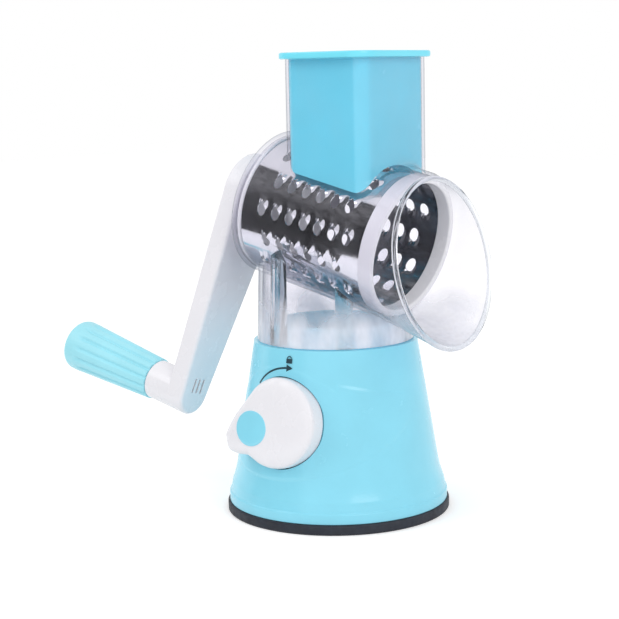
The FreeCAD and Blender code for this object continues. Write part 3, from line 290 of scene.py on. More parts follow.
# How milky the clear plastic is in the neck and above it, and the heights in metres between
NECK_HAZE = 0.46
CLEAR_HAZE = 0.014
HAZE_LOW = 0.104
HAZE_HIGH = 0.122
CYAN = (0.262, 0.715, 0.885)
# a brighter copy of the cyan plastic for the pusher: painted light making up for the light that the
# clear chute's walls take
LIT_PUSHER_CYAN = (0.19, 0.78, 0.95)
WHITE = (0.85, 0.84, 0.88)
INK = (0.012, 0.05, 0.07)
STEEL = (0.80, 0.80, 0.83)
MATERIALS = {
    "blue": moulded("cyan_plastic", CYAN, 0.22),
    # the pusher's plastic is painted brighter, as painted light for the clear chute's loss
    "pusher": moulded("pusher_plastic_painted_light", LIT_PUSHER_CYAN, 0.22),
    "grip": moulded("grip_plastic", (0.36, 0.79, 0.90), 0.42, skin=0.4),
    "white": moulded("white_plastic", WHITE, 0.25, mottle=0.012),
    "inner": moulded("inner_plastic", (0.70, 0.70, 0.71), 0.5, skin=0.4),
    "ink": moulded("printed_ink", INK, 0.5, skin=0.1),
    # near-black plastic for the slots' floors: painted shade for the dark hollow inside them
    "hollow": moulded("painted_slot_shade", (0.03, 0.04, 0.05), 0.6),
    # the clear plastic's second colour is painted shade for its turned-away rims
    "clear": clear_moulding("clear_plastic", (0.978, 0.974, 0.997), (0.52, 0.55, 0.60),
                            (0.93, 0.93, 0.99)),
    "thick": thick_clear("thick_clear_plastic", (0.93, 0.955, 0.965)),
    "steel": polished_metal("drum_steel", STEEL, 0.10, (1, 6, 1)),
    # the inside's steel is painted half as bright as the outside: painted shade for the dim inside
    # of the drum
    "bore": polished_metal("drum_steel_inside_painted_shade", (0.40, 0.40, 0.43), 0.18, (1, 6, 1)),
    "hub": moulded("hub_plastic", (0.90, 0.89, 0.92), 0.4, glow=0.8),
    "fastener": polished_metal("turned_steel", (0.62, 0.62, 0.64), 0.28, (1, 1, 4)),
    "rubber": rubber("black_rubber", (0.010, 0.013, 0.022)),
}


# Mesh helpers
def rounded(points, radii, step_angle=12):
    """A closed outline with its corners rounded: one radius for each point."""
    outline = []
    count = len(points)
    for i in range(count):
        here = Vector(points[i])
        back = Vector(points[i - 1]) - here
        ahead = Vector(points[(i + 1) % count]) - here
        radius = radii[i]
        if radius <= 0:
            outline.append(here)
            continue
        inside = back.angle(ahead)
        reach = radius / math.tan(inside / 2)
        limit = 0.49 * min(back.length, ahead.length)
        if reach > limit:
            reach = limit
            radius = reach * math.tan(inside / 2)
        start = here + back.normalized() * reach
        end = here + ahead.normalized() * reach
        middle = back.normalized() + ahead.normalized()
        centre = here + middle.normalized() * math.hypot(reach, radius)
        turned = math.pi - inside
        steps = max(2, math.ceil(math.degrees(turned) / step_angle))
        first = start - centre
        swing = first.angle_signed(end - centre) if first.length else 0
        for k in range(steps + 1):
            angle = -swing * k / steps
            turned_first = Vector((first.x * math.cos(angle) - first.y * math.sin(angle),
                                   first.x * math.sin(angle) + first.y * math.cos(angle)))
            outline.append(centre + turned_first)
    return outline


def add_object(name, mesh):
    piece = bpy.data.objects.new(name, mesh)
    scene.collection.objects.link(piece)
    return piece


def soften(piece, limit=32):
    """Smooth shading with the edges sharper than the limit kept crisp."""
    work = bmesh.new()
    work.from_mesh(piece.data)
    bmesh.ops.remove_doubles(work, verts=work.verts, dist=1e-7)
    bmesh.ops.recalc_face_normals(work, faces=work.faces)
    for face in work.faces:
        face.smooth = True
    for edge in work.edges:
        edge.smooth = not (edge.is_manifold and edge.calc_face_angle() > math.radians(limit))
    work.to_mesh(piece.data)
    work.free()


def new_piece(name, corners, faces, place):
    mesh = bpy.data.meshes.new(name)
    mesh.from_pydata([place @ Vector(c) for c in corners], [], faces)
    mesh.validate()
    piece = add_object(name, mesh)
    soften(piece)
    return piece


def skin(name, loops, place, closed=False):
    """Joins loops of points, each as long as the last; the ends are capped or join up."""
    count = len(loops[0])
    corners = [c for loop in loops for c in loop]
    faces = []
    pairs = len(loops) if closed else len(loops) - 1
    for i in range(pairs):
        low, high = i * count, (i + 1) % len(loops) * count
        for k in range(count):
            after = (k + 1) % count
            faces.append((low + k, low + after, high + after, high + k))
    if not closed:
        faces.append(tuple(reversed(range(count))))
        faces.append(tuple(range((len(loops) - 1) * count, len(loops) * count)))
    return new_piece(name, corners, faces, place)


def ring_points(radius, height, steps=ROUND_STEPS):
    return [(radius * math.cos(2 * math.pi * i / steps), radius * math.sin(2 * math.pi * i / steps),
             height) for i in range(steps)]


def lathe(name, outline, place, steps=ROUND_STEPS):
    """Turns a closed outline of (radius, height) about the frame's z axis."""
    loops = [ring_points(max(r, 0), z, steps) for r, z in outline]
    return skin(name, loops, place, closed=True)


def bake(piece):
    """Applies a piece's modifiers to its mesh."""
    bpy.context.view_layer.update()
    depsgraph = bpy.context.evaluated_depsgraph_get()
    mesh = bpy.data.meshes.new_from_object(piece.evaluated_get(depsgraph))
    piece.modifiers.clear()
    piece.data = mesh


def combine(piece, tool, operation):
    """Joins, cuts or intersects a piece with a tool, which is used up."""
    change = piece.modifiers.new("change", "BOOLEAN")
    change.operation = operation
    change.solver = "EXACT"
    change.object = tool
    bake(piece)
    bpy.data.objects.remove(tool)
    return piece


def dress(piece, body, slot, material, *nodes):
    """Gives a piece its material and its body, and hides the nodes that it stands for."""
    piece.data.materials.clear()
    piece.data.materials.append(MATERIALS[material])
    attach(piece, body)
    if nodes:
        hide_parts(*nodes)
    return piece


# Base: sizes that several pieces share
DECK_HEIGHT = 94.4
DECK_RADIUS = 44.4
WAIST_HEIGHT = 17.5
WAIST_RADIUS = 56.8
SKIRT_RADIUS = 59.9
FOOT_HEIGHT = 5.5
BASE_WALL = 2.2
CONE_SLOPE = (WAIST_RADIUS - DECK_RADIUS) / (DECK_HEIGHT - WAIST_HEIGHT)
KNOB_RADIUS = 23.9
RECESS_GAP = 0.5
RECESS_DEPTH = 6.0
SEAT_RADIUS = 26.6
SEAT_DEPTH = 8.2
SEAT_LOW = 12.0
SEAT_HIGH = 90.0
SKIRT_TOP = 10.6
GROOVE_LOW = (59.1, 11.3)
GROOVE_HIGH = (58.9, 12.6)
FLARE_TOP = 27.0
FLARE_RATE = 0.0105
FLARE_MOST = 1.2
COLLAR_OUTSIDE = 33.6
COLLAR_INSIDE = 31.4
COLLAR_HEIGHT = 9.6
COLLAR_ROUND = 0.8
WALL_STEPS = 150
BASE_STEPS = 360
RELIEF_RISE = 0.35
RELIEF_WIDTH = 1.6


def cone_radius(height):
    return DECK_RADIUS + (DECK_HEIGHT - height) * CONE_SLOPE


def window(value, start, end, fade):
    """1 between start and end, falling to 0 over the fade on both sides."""
    rising = min(1, max(0, (value - start) / fade))
    falling = min(1, max(0, (end - value) / fade))
    level = min(rising, falling)
    return level * level * (3 - 2 * level)


def step_up(value, width):
    level = min(1, max(0, value / width + 0.5))
    return level * level * (3 - 2 * level)


def relief(angle, height):
    """The moulded waves: two shallow steps that sweep round the knob, angle 0 at the knob."""
    upper = 84.4 - 0.0078 * (angle + 3) ** 2 if angle < 36 else 76.6 - 0.17 * (angle - 36)
    lower = 26.5 + 0.0034 * (angle + 6) ** 2
    between = step_up(upper - height, RELIEF_WIDTH) * step_up(height - lower, RELIEF_WIDTH)
    return RELIEF_RISE * between * window(angle, -75, 95, 30)


def base_outline():
    """The base's section as (radius, height): skirt, groove, flared wall, deck, collar, inside."""
    wall_top = DECK_HEIGHT - 0.6
    outline = rounded(
        [(SKIRT_RADIUS - BASE_WALL, FOOT_HEIGHT), (SKIRT_RADIUS, FOOT_HEIGHT),
         (SKIRT_RADIUS, SKIRT_TOP), GROOVE_LOW, GROOVE_HIGH, (WAIST_RADIUS, WAIST_HEIGHT + 1)],
        [0, 0.4, 0.7, 0.35, 1.2, 0])[:-1]
    for i in range(WALL_STEPS + 1):
        height = WAIST_HEIGHT - 2 + (wall_top - WAIST_HEIGHT + 2) * i / WALL_STEPS
        flare = max(0, FLARE_TOP - height) ** 2 * FLARE_RATE
        outline.append(Vector((cone_radius(height) + min(flare, FLARE_MOST), height)))
    collar_top = DECK_HEIGHT + COLLAR_HEIGHT
    outline += rounded(
        [(DECK_RADIUS, DECK_HEIGHT), (COLLAR_OUTSIDE, DECK_HEIGHT), (COLLAR_OUTSIDE, collar_top),
         (COLLAR_INSIDE, collar_top), (COLLAR_INSIDE, DECK_HEIGHT), (0, DECK_HEIGHT)],
        [0] + [COLLAR_ROUND] * 4 + [0])[1:]
    outline += [Vector(p) for p in (
        (0, DECK_HEIGHT - BASE_WALL), (DECK_RADIUS - BASE_WALL, DECK_HEIGHT - BASE_WALL),
        (WAIST_RADIUS - BASE_WALL, WAIST_HEIGHT), (SKIRT_RADIUS - BASE_WALL, 11.5))]
    return outline


def make_base():
    wall_low, wall_high = WAIST_HEIGHT + 2, DECK_HEIGHT - 1.6
    loops = []
    for r, z in base_outline():
        loop = []
        for i in range(BASE_STEPS):
            angle = 2 * math.pi * i / BASE_STEPS
            on_wall = wall_low < z < wall_high and r > cone_radius(z) - 1
            extra = relief(math.degrees(angle if angle < math.pi else angle - 2 * math.pi), z)
            radius = r + (extra if on_wall else 0)
            loop.append((radius * math.sin(angle), -radius * math.cos(angle), z))
        loops.append(loop)
    return skin("base", loops, STAND, closed=True)


base = make_base()
tub = lathe("tub", rounded([(0, -SEAT_DEPTH), (SEAT_RADIUS, -SEAT_DEPTH), (SEAT_RADIUS, 12),
                            (0, 12)], [0, 2, 0, 0]), KNOB)
cone_room = lathe("cone_room", [
    (0, SEAT_LOW), (cone_radius(SEAT_LOW) - 0.3, SEAT_LOW),
    (cone_radius(SEAT_HIGH) - 0.3, SEAT_HIGH), (0, SEAT_HIGH)], STAND)
combine(tub, cone_room, "INTERSECT")
combine(base, tub, "UNION")
recess = lathe("recess", rounded(
    [(0, -RECESS_DEPTH), (KNOB_RADIUS + RECESS_GAP, -RECESS_DEPTH),
     (KNOB_RADIUS + RECESS_GAP, 14), (0, 14)], [0, 1, 0, 0]), KNOB)
combine(base, recess, "DIFFERENCE")
soften(base, 28)
dress(base, "base", "blue_plastic", "blue", "base_shell")

# Rubber foot
FOOT_RADIUS = 61.0
FOOT_WIDTH = 8.2
FOOT_LAND = 13.0
PAD_TOP = 3.2
PAD_UNDERSIDE = 0.8
foot = lathe("foot_ring", rounded(
    [(FOOT_RADIUS - FOOT_WIDTH, FOOT_HEIGHT), (FOOT_RADIUS - FOOT_WIDTH, PAD_TOP), (10, PAD_TOP),
     (0.01, PAD_TOP), (0.01, PAD_UNDERSIDE), (FOOT_RADIUS - FOOT_LAND - 2, PAD_UNDERSIDE),
     (FOOT_RADIUS - FOOT_LAND, 0), (FOOT_RADIUS, 0), (FOOT_RADIUS, FOOT_HEIGHT)],
    [0.4, 0.8, 0, 0, 0, 0.5, 0.5, 1.0, 1.0]), STAND, 240)
dress(foot, "base", "black_rubber", "rubber", "suction_pad")


# Lock knob: a domed disc that turns in the recess, with a raised paddle
PADDLE_LOW = 0.5
KNOB_FACE = 7.6
DOME_DROP = 1.6
DOME_REACH = 24
PADDLE_DOME = 0.35
PADDLE_RISE = 1.9
PADDLE_START = 9
PADDLE_FADE = 22
INLAY_REACH = 13.2
INLAY_TURN = math.radians(18)
INLAY_CENTRE = Vector((-INLAY_REACH * math.cos(INLAY_TURN), -INLAY_REACH * math.sin(INLAY_TURN)))
INLAY_RADIUS = 9.3
FACE_POWER = 5.0


def knob_outline():
    """The pear-shaped outline seen from outside: the disc's arc and the paddle's tip."""
    arc = []
    for degrees in range(-112, 101, 4):
        angle = math.radians(degrees)
        arc.append((KNOB_RADIUS * math.cos(angle), KNOB_RADIUS * math.sin(angle)))
    tip = [(-12.6, 19.4), (-26.8, 0.8), (-32.2, -9.3), (-29.6, -17.6), (-22.5, -18.9),
           (-15.5, -18.6)]
    radii = [0] * len(arc) + [26, 30, 4, 5, 8, 6]
    return rounded(arc + tip, radii, 6)


def knob_height(x, y):
    """Height of the knob's face: nearly flat, rising to the paddle, with the inlay's seat."""
    share = 1 if x > 0 else PADDLE_DOME
    dome = KNOB_FACE - DOME_DROP * ((x / DOME_REACH) ** 2 + (y / DOME_REACH) ** 2) * share
    return dome + PADDLE_RISE * step_up(-x - PADDLE_START, PADDLE_FADE)


def make_knob():
    outline = knob_outline()
    side_low = PADDLE_LOW + 0.6
    loops = [[(x, y, PADDLE_LOW) for x, y in outline]]
    rings = 26
    for k in range(rings + 1):
        turn = math.pi / 2 * k / rings
        inward = math.cos(turn) ** (2 / FACE_POWER) if k < rings else 0.0
        upward = math.sin(turn) ** (2 / FACE_POWER) if k else 0.0
        loop = []
        for x, y in outline:
            top = knob_height(x * inward, y * inward)
            loop.append((x * inward, y * inward, side_low + (top - side_low) * upward))
        loops.append(loop)
    loops[-1] = [(0.001 * x, 0.001 * y, knob_height(0, 0)) for x, y in outline]
    top = skin("lock_knob_cap", loops, KNOB)
    skirt = lathe("skirt", rounded(
        [(0, -RECESS_DEPTH + 0.6), (KNOB_RADIUS - 0.05, -RECESS_DEPTH + 0.6),
         (KNOB_RADIUS - 0.05, 1.6), (0, 1.6)], [0, 0.6, 0, 0]), KNOB)
    combine(top, skirt, "UNION")
    soften(top, 40)
    return top


knob = make_knob()
dress(knob, "lock", "white_plastic", "white", "lock_knob")


def make_inlay():
    """The coloured disc follows the knob's face and stands a little proud of it."""
    loops = []
    for share, lift in ((1.0, -0.6), (1.0, 0.05), (0.985, 0.2), (0.95, 0.3), (0.8, 0.34),
                        (0.55, 0.36), (0.25, 0.37), (0.001, 0.37)):
        loop = []
        for i in range(96):
            angle = 2 * math.pi * i / 96
            x = INLAY_CENTRE.x + INLAY_RADIUS * share * math.cos(angle)
            y = INLAY_CENTRE.y + INLAY_RADIUS * share * math.sin(angle)
            loop.append((x, y, knob_height(x, y) + lift))
        loops.append(loop)
    return skin("knob_inlay_disc", loops, KNOB)


dress(make_inlay(), "lock", "blue_plastic", "blue", "knob_inlay")


# Printed marks: an arrow and a padlock, laid on the cone
PRINT_LIFT = 0.06
ARROW_CENTRE = (3.0, 2.0)
ARROW_RADIUS = 27.6
ARROW_WIDTH = 1.0
ARROW_START = 142
ARROW_END = 92
LOCK_PLACE = (3.0, 34.0)
LOCK_HALF = 1.8
LOCK_HEIGHT = 2.4
LOCK_LOOP = 1.5
LOCK_LOOP_WIDTH = 0.5


def on_cone(x, y):
    """A point of the cone's wall: x round it and y up it, from the knob's centre."""
    height = KNOB_TURN["pos_m"][2] / MM + y * math.cos(math.atan(CONE_SLOPE))
    radius = cone_radius(height) + PRINT_LIFT + RELIEF_RISE
    angle = x / radius
    return (radius * math.sin(angle), -radius * math.cos(angle), height)


def strip(name, left, right):
    """A printed band between two lists of points."""
    corners = [on_cone(*p) for p in left] + [on_cone(*p) for p in right]
    count = len(left)
    faces = [(i, i + 1, count + i + 1, count + i) for i in range(count - 1)]
    return new_piece(name, corners, faces, STAND)


def arc_points(centre, radius, start, end, steps=24):
    return [(centre[0] + radius * math.cos(math.radians(start + (end - start) * i / steps)),
             centre[1] + radius * math.sin(math.radians(start + (end - start) * i / steps)))
            for i in range(steps + 1)]


def joined(name, parts):
    """One object from several flat parts."""
    target = parts[0]
    work = bmesh.new()
    for part in parts:
        work.from_mesh(part.data)
    work.to_mesh(target.data)
    work.free()
    for part in parts[1:]:
        bpy.data.objects.remove(part)
    target.name = name
    return target


def make_print():
    outer = arc_points(ARROW_CENTRE, ARROW_RADIUS, ARROW_START, ARROW_END)
    inner = arc_points(ARROW_CENTRE, ARROW_RADIUS - ARROW_WIDTH, ARROW_START, ARROW_END)
    shaft = strip("arrow_shaft", outer, inner)
    tip = strip("arrow_tip", [(1.6, 31.0), (3.6, 30.0), (5.4, 29.0)],
                [(1.6, 27.2), (3.6, 28.2), (5.4, 29.0)])
    x, y = LOCK_PLACE
    across = (x - LOCK_HALF, x, x + LOCK_HALF)
    body = strip("lock_body", [(c, y) for c in across], [(c, y - LOCK_HEIGHT) for c in across])
    loop = strip("lock_loop", arc_points(LOCK_PLACE, LOCK_LOOP, 0, 180),
                 arc_points(LOCK_PLACE, LOCK_LOOP - LOCK_LOOP_WIDTH, 0, 180))
    return joined("printed_marks", [shaft, tip, body, loop])


dress(make_print(), "base", "blue_plastic", "ink")

# Clear housing
BARREL_RADIUS = 40.2
BARREL_BORE = 38.4
BARREL_REAR = 40.0
BARREL_FRONT = 50.0
NOSE_RADIUS = 14.0
NOSE_END = -48.0
NOSE_EDGE = 0.6
NOSE_FILLET = 0.8
BARREL_EDGE = 4
BARREL_STATIONS = (-20, 0, 20, 40, BARREL_FRONT)
REAR_WALL = 2.2
INSIDE_EDGE = 2.5
INSIDE_BEND = 0.7
BUSH_WAY = 10.55
LIP_CENTRE = Vector((71.2, 0, 138.4))
LIP_LEAN = math.radians(10.3)
LIP_RADIUS = 45.6
LIP_WALL = 2.0
RIM_DEPTH = 2.8
RIM_WIDTH = 2.7
RIM_ROUND = 1.1
RIM_TAPER = 0.35
RIB_ANGLES = (-107.6, -47, 47, 107.6)
RIB_ROOT = 34.2
RIB_BACK = 44.0
RIB_HALF = 4.5
RIB_CORNER = 1.2
CORNER_STEP = 7.5
CHUTE = {"centre": 16.2, "half_length": 26.6, "half_width": 31.6, "corner": 8.5,
         "wall": 1.6, "top": 243.9}
FILLET_RISE = 7.0
FILLET_AHEAD = 6.0
FILLET_SIDE = 2.6
FILLET_SINK = 0.2
SIDE_STEPS = 14
NECK_LOW = 42.6
NECK_HIGH = 40.0
NECK_WALL = 2.2
SHOULDER_DROP = 13.0


def drum_point(x, y, z):
    """A point of the drum's frame in the row's frame, in millimetres."""
    return (DRUM @ Vector((x, y, z))) / MM


def barrel_ring(radius, along):
    return [drum_point(*p) for p in ring_points(radius, along)]


def lip_ring(radius, forward=0.0):
    """A ring in the mouth's own plane, which leans back."""
    normal = Vector((math.cos(LIP_LEAN), 0, math.sin(LIP_LEAN)))
    down = Vector((math.sin(LIP_LEAN), 0, -math.cos(LIP_LEAN)))
    side = Vector((0, 1, 0))
    return [LIP_CENTRE + normal * forward + (down * x + side * y)
            for x, y, _ in ring_points(radius, 0)]


def box_outline(x_half, y_half, corner):
    return rounded([(-x_half, -y_half), (x_half, -y_half), (x_half, y_half), (-x_half, y_half)],
                   [corner] * 4, CORNER_STEP)


def box_loop(x_half, y_half, corner, height):
    """A level loop of the chute or the pusher."""
    return [(CHUTE["centre"] + x, y, height) for x, y in box_outline(x_half, y_half, corner)]


def neck_radius(height):
    return NECK_LOW + (NECK_HIGH - NECK_LOW) * (height - DECK_HEIGHT) / (AXIS_HEIGHT - DECK_HEIGHT)


def neck_loop(inset, top):
    """A loop of the neck: at the deck, or where the sloping shoulder cuts it."""
    loop = []
    for i in range(ROUND_STEPS):
        angle = 2 * math.pi * i / ROUND_STEPS
        height = AXIS_HEIGHT if top else DECK_HEIGHT
        for _ in range(6 if top else 0):
            drop = SHOULDER_DROP + math.sin(TILT) * neck_radius(height) * math.cos(angle)
            height = AXIS_HEIGHT - drop / math.cos(TILT)
        radius = neck_radius(height) - inset
        loop.append((radius * math.cos(angle), radius * math.sin(angle), height))
    return loop


def barrel_top(x, y):
    """Height of the barrel's upper surface over a point."""
    rise = math.sqrt(BARREL_RADIUS ** 2 - y * y) - x * math.sin(TILT)
    return AXIS_HEIGHT + rise / math.cos(TILT)


def saddle_loop(share, rise):
    """A loop round the chute, moved out by a share of the fillet and up from the barrel."""
    corner_points = round(90 / CORNER_STEP) + 1
    outline = box_outline(CHUTE["half_length"] + FILLET_AHEAD * share,
                          CHUTE["half_width"] + FILLET_SIDE * share,
                          CHUTE["corner"] + FILLET_SIDE * share)
    loop = []
    for i, here in enumerate(outline):
        after = outline[(i + 1) % len(outline)]
        pieces = SIDE_STEPS if i % corner_points == corner_points - 1 else 1
        for k in range(pieces):
            x, y = here.lerp(after, k / pieces)
            x += CHUTE["centre"]
            loop.append((x, y, barrel_top(x, y) + rise))
    return loop


def make_fillet():
    """The sweep between the chute's walls and the barrel."""
    sunk = FILLET_SINK / FILLET_SIDE
    loops = []
    for k in range(11):
        along = k / 10
        rise = (FILLET_RISE + FILLET_SINK) * (1 - along) ** 2 - FILLET_SINK
        loops.append(saddle_loop(-sunk + (1 + sunk) * along ** 2, rise))
    loops.append(saddle_loop(-0.8 / FILLET_SIDE, -0.9))
    return skin("saddle_fillet", loops, STAND, closed=True)


def make_barrel_skin():
    """The barrel and the mouth as one solid, a hair larger than their outside."""
    return skin("barrel_skin", [
        barrel_ring(BARREL_RADIUS + 0.02, -90), barrel_ring(BARREL_RADIUS + 0.02, BARREL_FRONT),
        lip_ring(LIP_RADIUS + 0.02, 0.5)], STAND)


def make_rib(degrees, room):
    """An upright rib inside the neck, from the deck to the barrel."""
    turned = Matrix.Rotation(math.radians(degrees), 4, "Z")
    outline = rounded([(RIB_ROOT, -RIB_HALF), (RIB_BACK, -RIB_HALF), (RIB_BACK, RIB_HALF),
                       (RIB_ROOT, RIB_HALF)], [RIB_CORNER, 0, 0, RIB_CORNER], 15)
    rib = skin("rib", [[(x, y, height) for x, y in outline]
                       for height in (DECK_HEIGHT - 5, AXIS_HEIGHT)], STAND @ turned)
    copy = add_object("room_copy", room.data.copy())
    return combine(rib, copy, "INTERSECT")


def make_housing():
    outside = skin("clear_housing", [
        barrel_ring(NOSE_RADIUS - NOSE_EDGE, NOSE_END),
        barrel_ring(NOSE_RADIUS, NOSE_END + NOSE_EDGE),
        barrel_ring(NOSE_RADIUS, -BARREL_REAR - NOSE_FILLET),
        barrel_ring(NOSE_RADIUS + NOSE_FILLET, -BARREL_REAR),
        *[barrel_ring(BARREL_RADIUS - BARREL_EDGE + BARREL_EDGE * math.sin(math.radians(a)),
                      -BARREL_REAR + BARREL_EDGE - BARREL_EDGE * math.cos(math.radians(a)))
          for a in range(0, 91, 10)],
        *[barrel_ring(BARREL_RADIUS, t) for t in BARREL_STATIONS],
        lip_ring(LIP_RADIUS - RIM_TAPER, 0.8 - RIM_DEPTH)], STAND)
    chute = skin("chute_outside", [
        box_loop(CHUTE["half_length"], CHUTE["half_width"], CHUTE["corner"], AXIS_HEIGHT),
        box_loop(CHUTE["half_length"], CHUTE["half_width"], CHUTE["corner"], CHUTE["top"])], STAND)
    combine(outside, chute, "UNION")
    combine(outside, make_fillet(), "UNION")
    neck = skin("neck_outside", [neck_loop(0, False), neck_loop(0, True)], STAND)
    combine(outside, neck, "UNION")
    inside = skin("barrel_inside", [
        barrel_ring(BARREL_BORE - INSIDE_EDGE, -BARREL_REAR + REAR_WALL),
        barrel_ring(BARREL_BORE - INSIDE_BEND, -BARREL_REAR + REAR_WALL + INSIDE_BEND),
        barrel_ring(BARREL_BORE, -BARREL_REAR + REAR_WALL + INSIDE_EDGE),
        *[barrel_ring(BARREL_BORE, t) for t in BARREL_STATIONS],
        lip_ring(LIP_RADIUS - LIP_WALL - RIM_TAPER, 0.8 - RIM_DEPTH),
        lip_ring(LIP_RADIUS - LIP_WALL - RIM_TAPER, 2)], STAND)
    combine(outside, inside, "DIFFERENCE")
    well = skin("chute_inside", [
        box_loop(CHUTE["half_length"] - CHUTE["wall"], CHUTE["half_width"] - CHUTE["wall"],
                 CHUTE["corner"] - CHUTE["wall"], AXIS_HEIGHT + 3),
        box_loop(CHUTE["half_length"] - CHUTE["wall"], CHUTE["half_width"] - CHUTE["wall"],
                 CHUTE["corner"] - CHUTE["wall"], CHUTE["top"] + 5)], STAND)
    combine(outside, well, "DIFFERENCE")
    bush_way = lathe("bush_way", [(0, -60), (BUSH_WAY, -60), (BUSH_WAY, -30), (0, -30)], DRUM)
    combine(outside, bush_way, "DIFFERENCE")
    room_low = [(x, y, DECK_HEIGHT - 2) for x, y, _ in neck_loop(NECK_WALL, False)]
    room = skin("neck_room", [room_low, neck_loop(NECK_WALL, False), neck_loop(NECK_WALL, True)],
                STAND)
    combine(room, make_barrel_skin(), "DIFFERENCE")
    ribs = [make_rib(degrees, room) for degrees in RIB_ANGLES]
    combine(outside, room, "DIFFERENCE")
    soften(outside, 30)
    return outside, joined("neck_ribs", ribs)


def make_rim():
    """The thick edge of the mouth."""
    inside = LIP_RADIUS - RIM_WIDTH
    section = rounded([(inside, -RIM_DEPTH), (LIP_RADIUS, -RIM_DEPTH), (LIP_RADIUS, 0),
                       (inside, 0)], [RIM_ROUND] * 4, 22.5)
    return skin("mouth_rim", [lip_ring(r, forward) for r, forward in section], STAND, closed=True)


housing, neck_ribs = make_housing()
dress(neck_ribs, "base", "clear_plastic", "thick")
dress(make_rim(), "base", "clear_plastic", "thick")
dress(housing, "base", "clear_plastic", "clear", "housing_barrel", "housing_neck", "feed_chute",
      "discharge_mouth")

# Drum
DRUM_RADIUS = 36.5
SHEET = 0.55
DRUM_REAR = -34.5
DRUM_END = 46.5
ROWS = 14
ROW_PHASE = 6.2
PITCH = 9.4
FIRST_TOOTH = -21.8
TEETH = 7
CELL_LONG = 8
CELL_ROUND = 12
CELL_MARGIN = 6
CELL_REACH = 4.45
HOLE_RADIUS = 2.75
HOLE_STRETCH = 1.42
HOLE_DROP = 0.7
TOOTH_HEIGHT = 1.5
EAR_RIGHT = 48
EAR_RIGHT_SPREAD = 32
EAR_LEFT = 115
EAR_LEFT_SPREAD = 17
EAR_LEFT_SHARE = 0.8
EAR_REACH = 0.35


def ear(turn, middle, spread):
    """How far an ear of the torn edge stands up at an angle round the hole."""
    apart = (math.degrees(turn) - middle + 180) % 360 - 180
    return math.exp(-(apart / spread) ** 2)


def make_drum():
    """The perforated sheet: each tooth is a hole whose upper edge is raised and bent over it."""
    step = PITCH / CELL_LONG
    first = FIRST_TOOTH - PITCH / 2 - CELL_MARGIN * step
    rings = CELL_LONG * TEETH + 2 * CELL_MARGIN + 1
    lengths = [DRUM_REAR] + [first + step * k for k in range(rings)] + [DRUM_END]
    round_count = ROWS * CELL_ROUND
    corners, faces, lookup = [], [], {}

    def surface(angle, along, rise=0.0):
        radius = DRUM_RADIUS + rise
        return (-radius * math.sin(angle), -radius * math.cos(angle), along)

    def grid_angle(i):
        return math.radians(ROW_PHASE) + 2 * math.pi * i / round_count

    def grid_point(i, k):
        key = (i % round_count, k)
        if key not in lookup:
            lookup[key] = len(corners)
            corners.append(surface(grid_angle(i), lengths[k]))
        return lookup[key]

    taken = set()
    for row in range(ROWS):
        odd = row % 2
        middle = row * CELL_ROUND
        for tooth in range(TEETH - odd):
            start = 1 + CELL_MARGIN + CELL_LONG * tooth + odd * CELL_LONG // 2
            low, high = middle - CELL_ROUND // 2, middle + CELL_ROUND // 2
            for i in range(low, high):
                for k in range(start, start + CELL_LONG):
                    taken.add((i % round_count, k))
            edge = [(i, start) for i in range(low, high)]
            edge += [(high, k) for k in range(start, start + CELL_LONG)]
            edge += [(i, start + CELL_LONG) for i in range(high, low, -1)]
            edge += [(low, k) for k in range(start + CELL_LONG, start, -1)]
            centre_angle = grid_angle(middle)
            centre_along = (lengths[start] + lengths[start + CELL_LONG]) / 2
            loops = [[grid_point(i, k) for i, k in edge]]
            for radius in (CELL_REACH, 4.0, 3.6, 3.2, 2.9, HOLE_RADIUS):
                loop = []
                for i, k in edge:
                    up = (grid_angle(i) - centre_angle) * DRUM_RADIUS
                    along = lengths[k] - centre_along
                    turn = math.atan2(up, along)
                    lip = ear(turn, EAR_RIGHT, EAR_RIGHT_SPREAD)
                    lip += EAR_LEFT_SHARE * ear(turn, EAR_LEFT, EAR_LEFT_SPREAD)
                    share = (CELL_REACH - radius) / (CELL_REACH - HOLE_RADIUS)
                    rise = TOOTH_HEIGHT * min(1, lip) * share ** 1.4
                    reach = radius - EAR_REACH * lip * share ** 2
                    drop = HOLE_DROP * share
                    loop.append(len(corners))
                    corners.append(surface(
                        centre_angle + (HOLE_STRETCH * reach * math.sin(turn) - drop) / DRUM_RADIUS,
                        centre_along + reach * math.cos(turn), rise))
                loops.append(loop)
            count = len(edge)
            for outer, inner in zip(loops, loops[1:]):
                for n in range(count):
                    after = (n + 1) % count
                    faces.append((outer[n], outer[after], inner[after], inner[n]))
    for i in range(round_count):
        for k in range(len(lengths) - 1):
            if (i, k) not in taken:
                faces.append((grid_point(i, k), grid_point(i + 1, k),
                              grid_point(i + 1, k + 1), grid_point(i, k + 1)))
    sheet = new_piece("drum", corners, faces, DRUM)
    thicken = sheet.modifiers.new("thickness", "SOLIDIFY")
    thicken.thickness = SHEET * MM
    thicken.offset = -1
    bake(sheet)
    soften(sheet, 40)
    return sheet


def paint_bore_shade(sheet):
    """The sheet's inner face is less polished, and its steel is painted darker: painted shade for
    the dim inside of the drum.
    """
    sheet.data.materials.append(MATERIALS["bore"])
    for face in sheet.data.polygons:
        spoke = face.center - DRUM_CENTRE
        spoke -= DRUM_AXIS * spoke.dot(DRUM_AXIS)
        if face.normal.dot(spoke.normalized()) < -0.3:
            face.material_index = 1


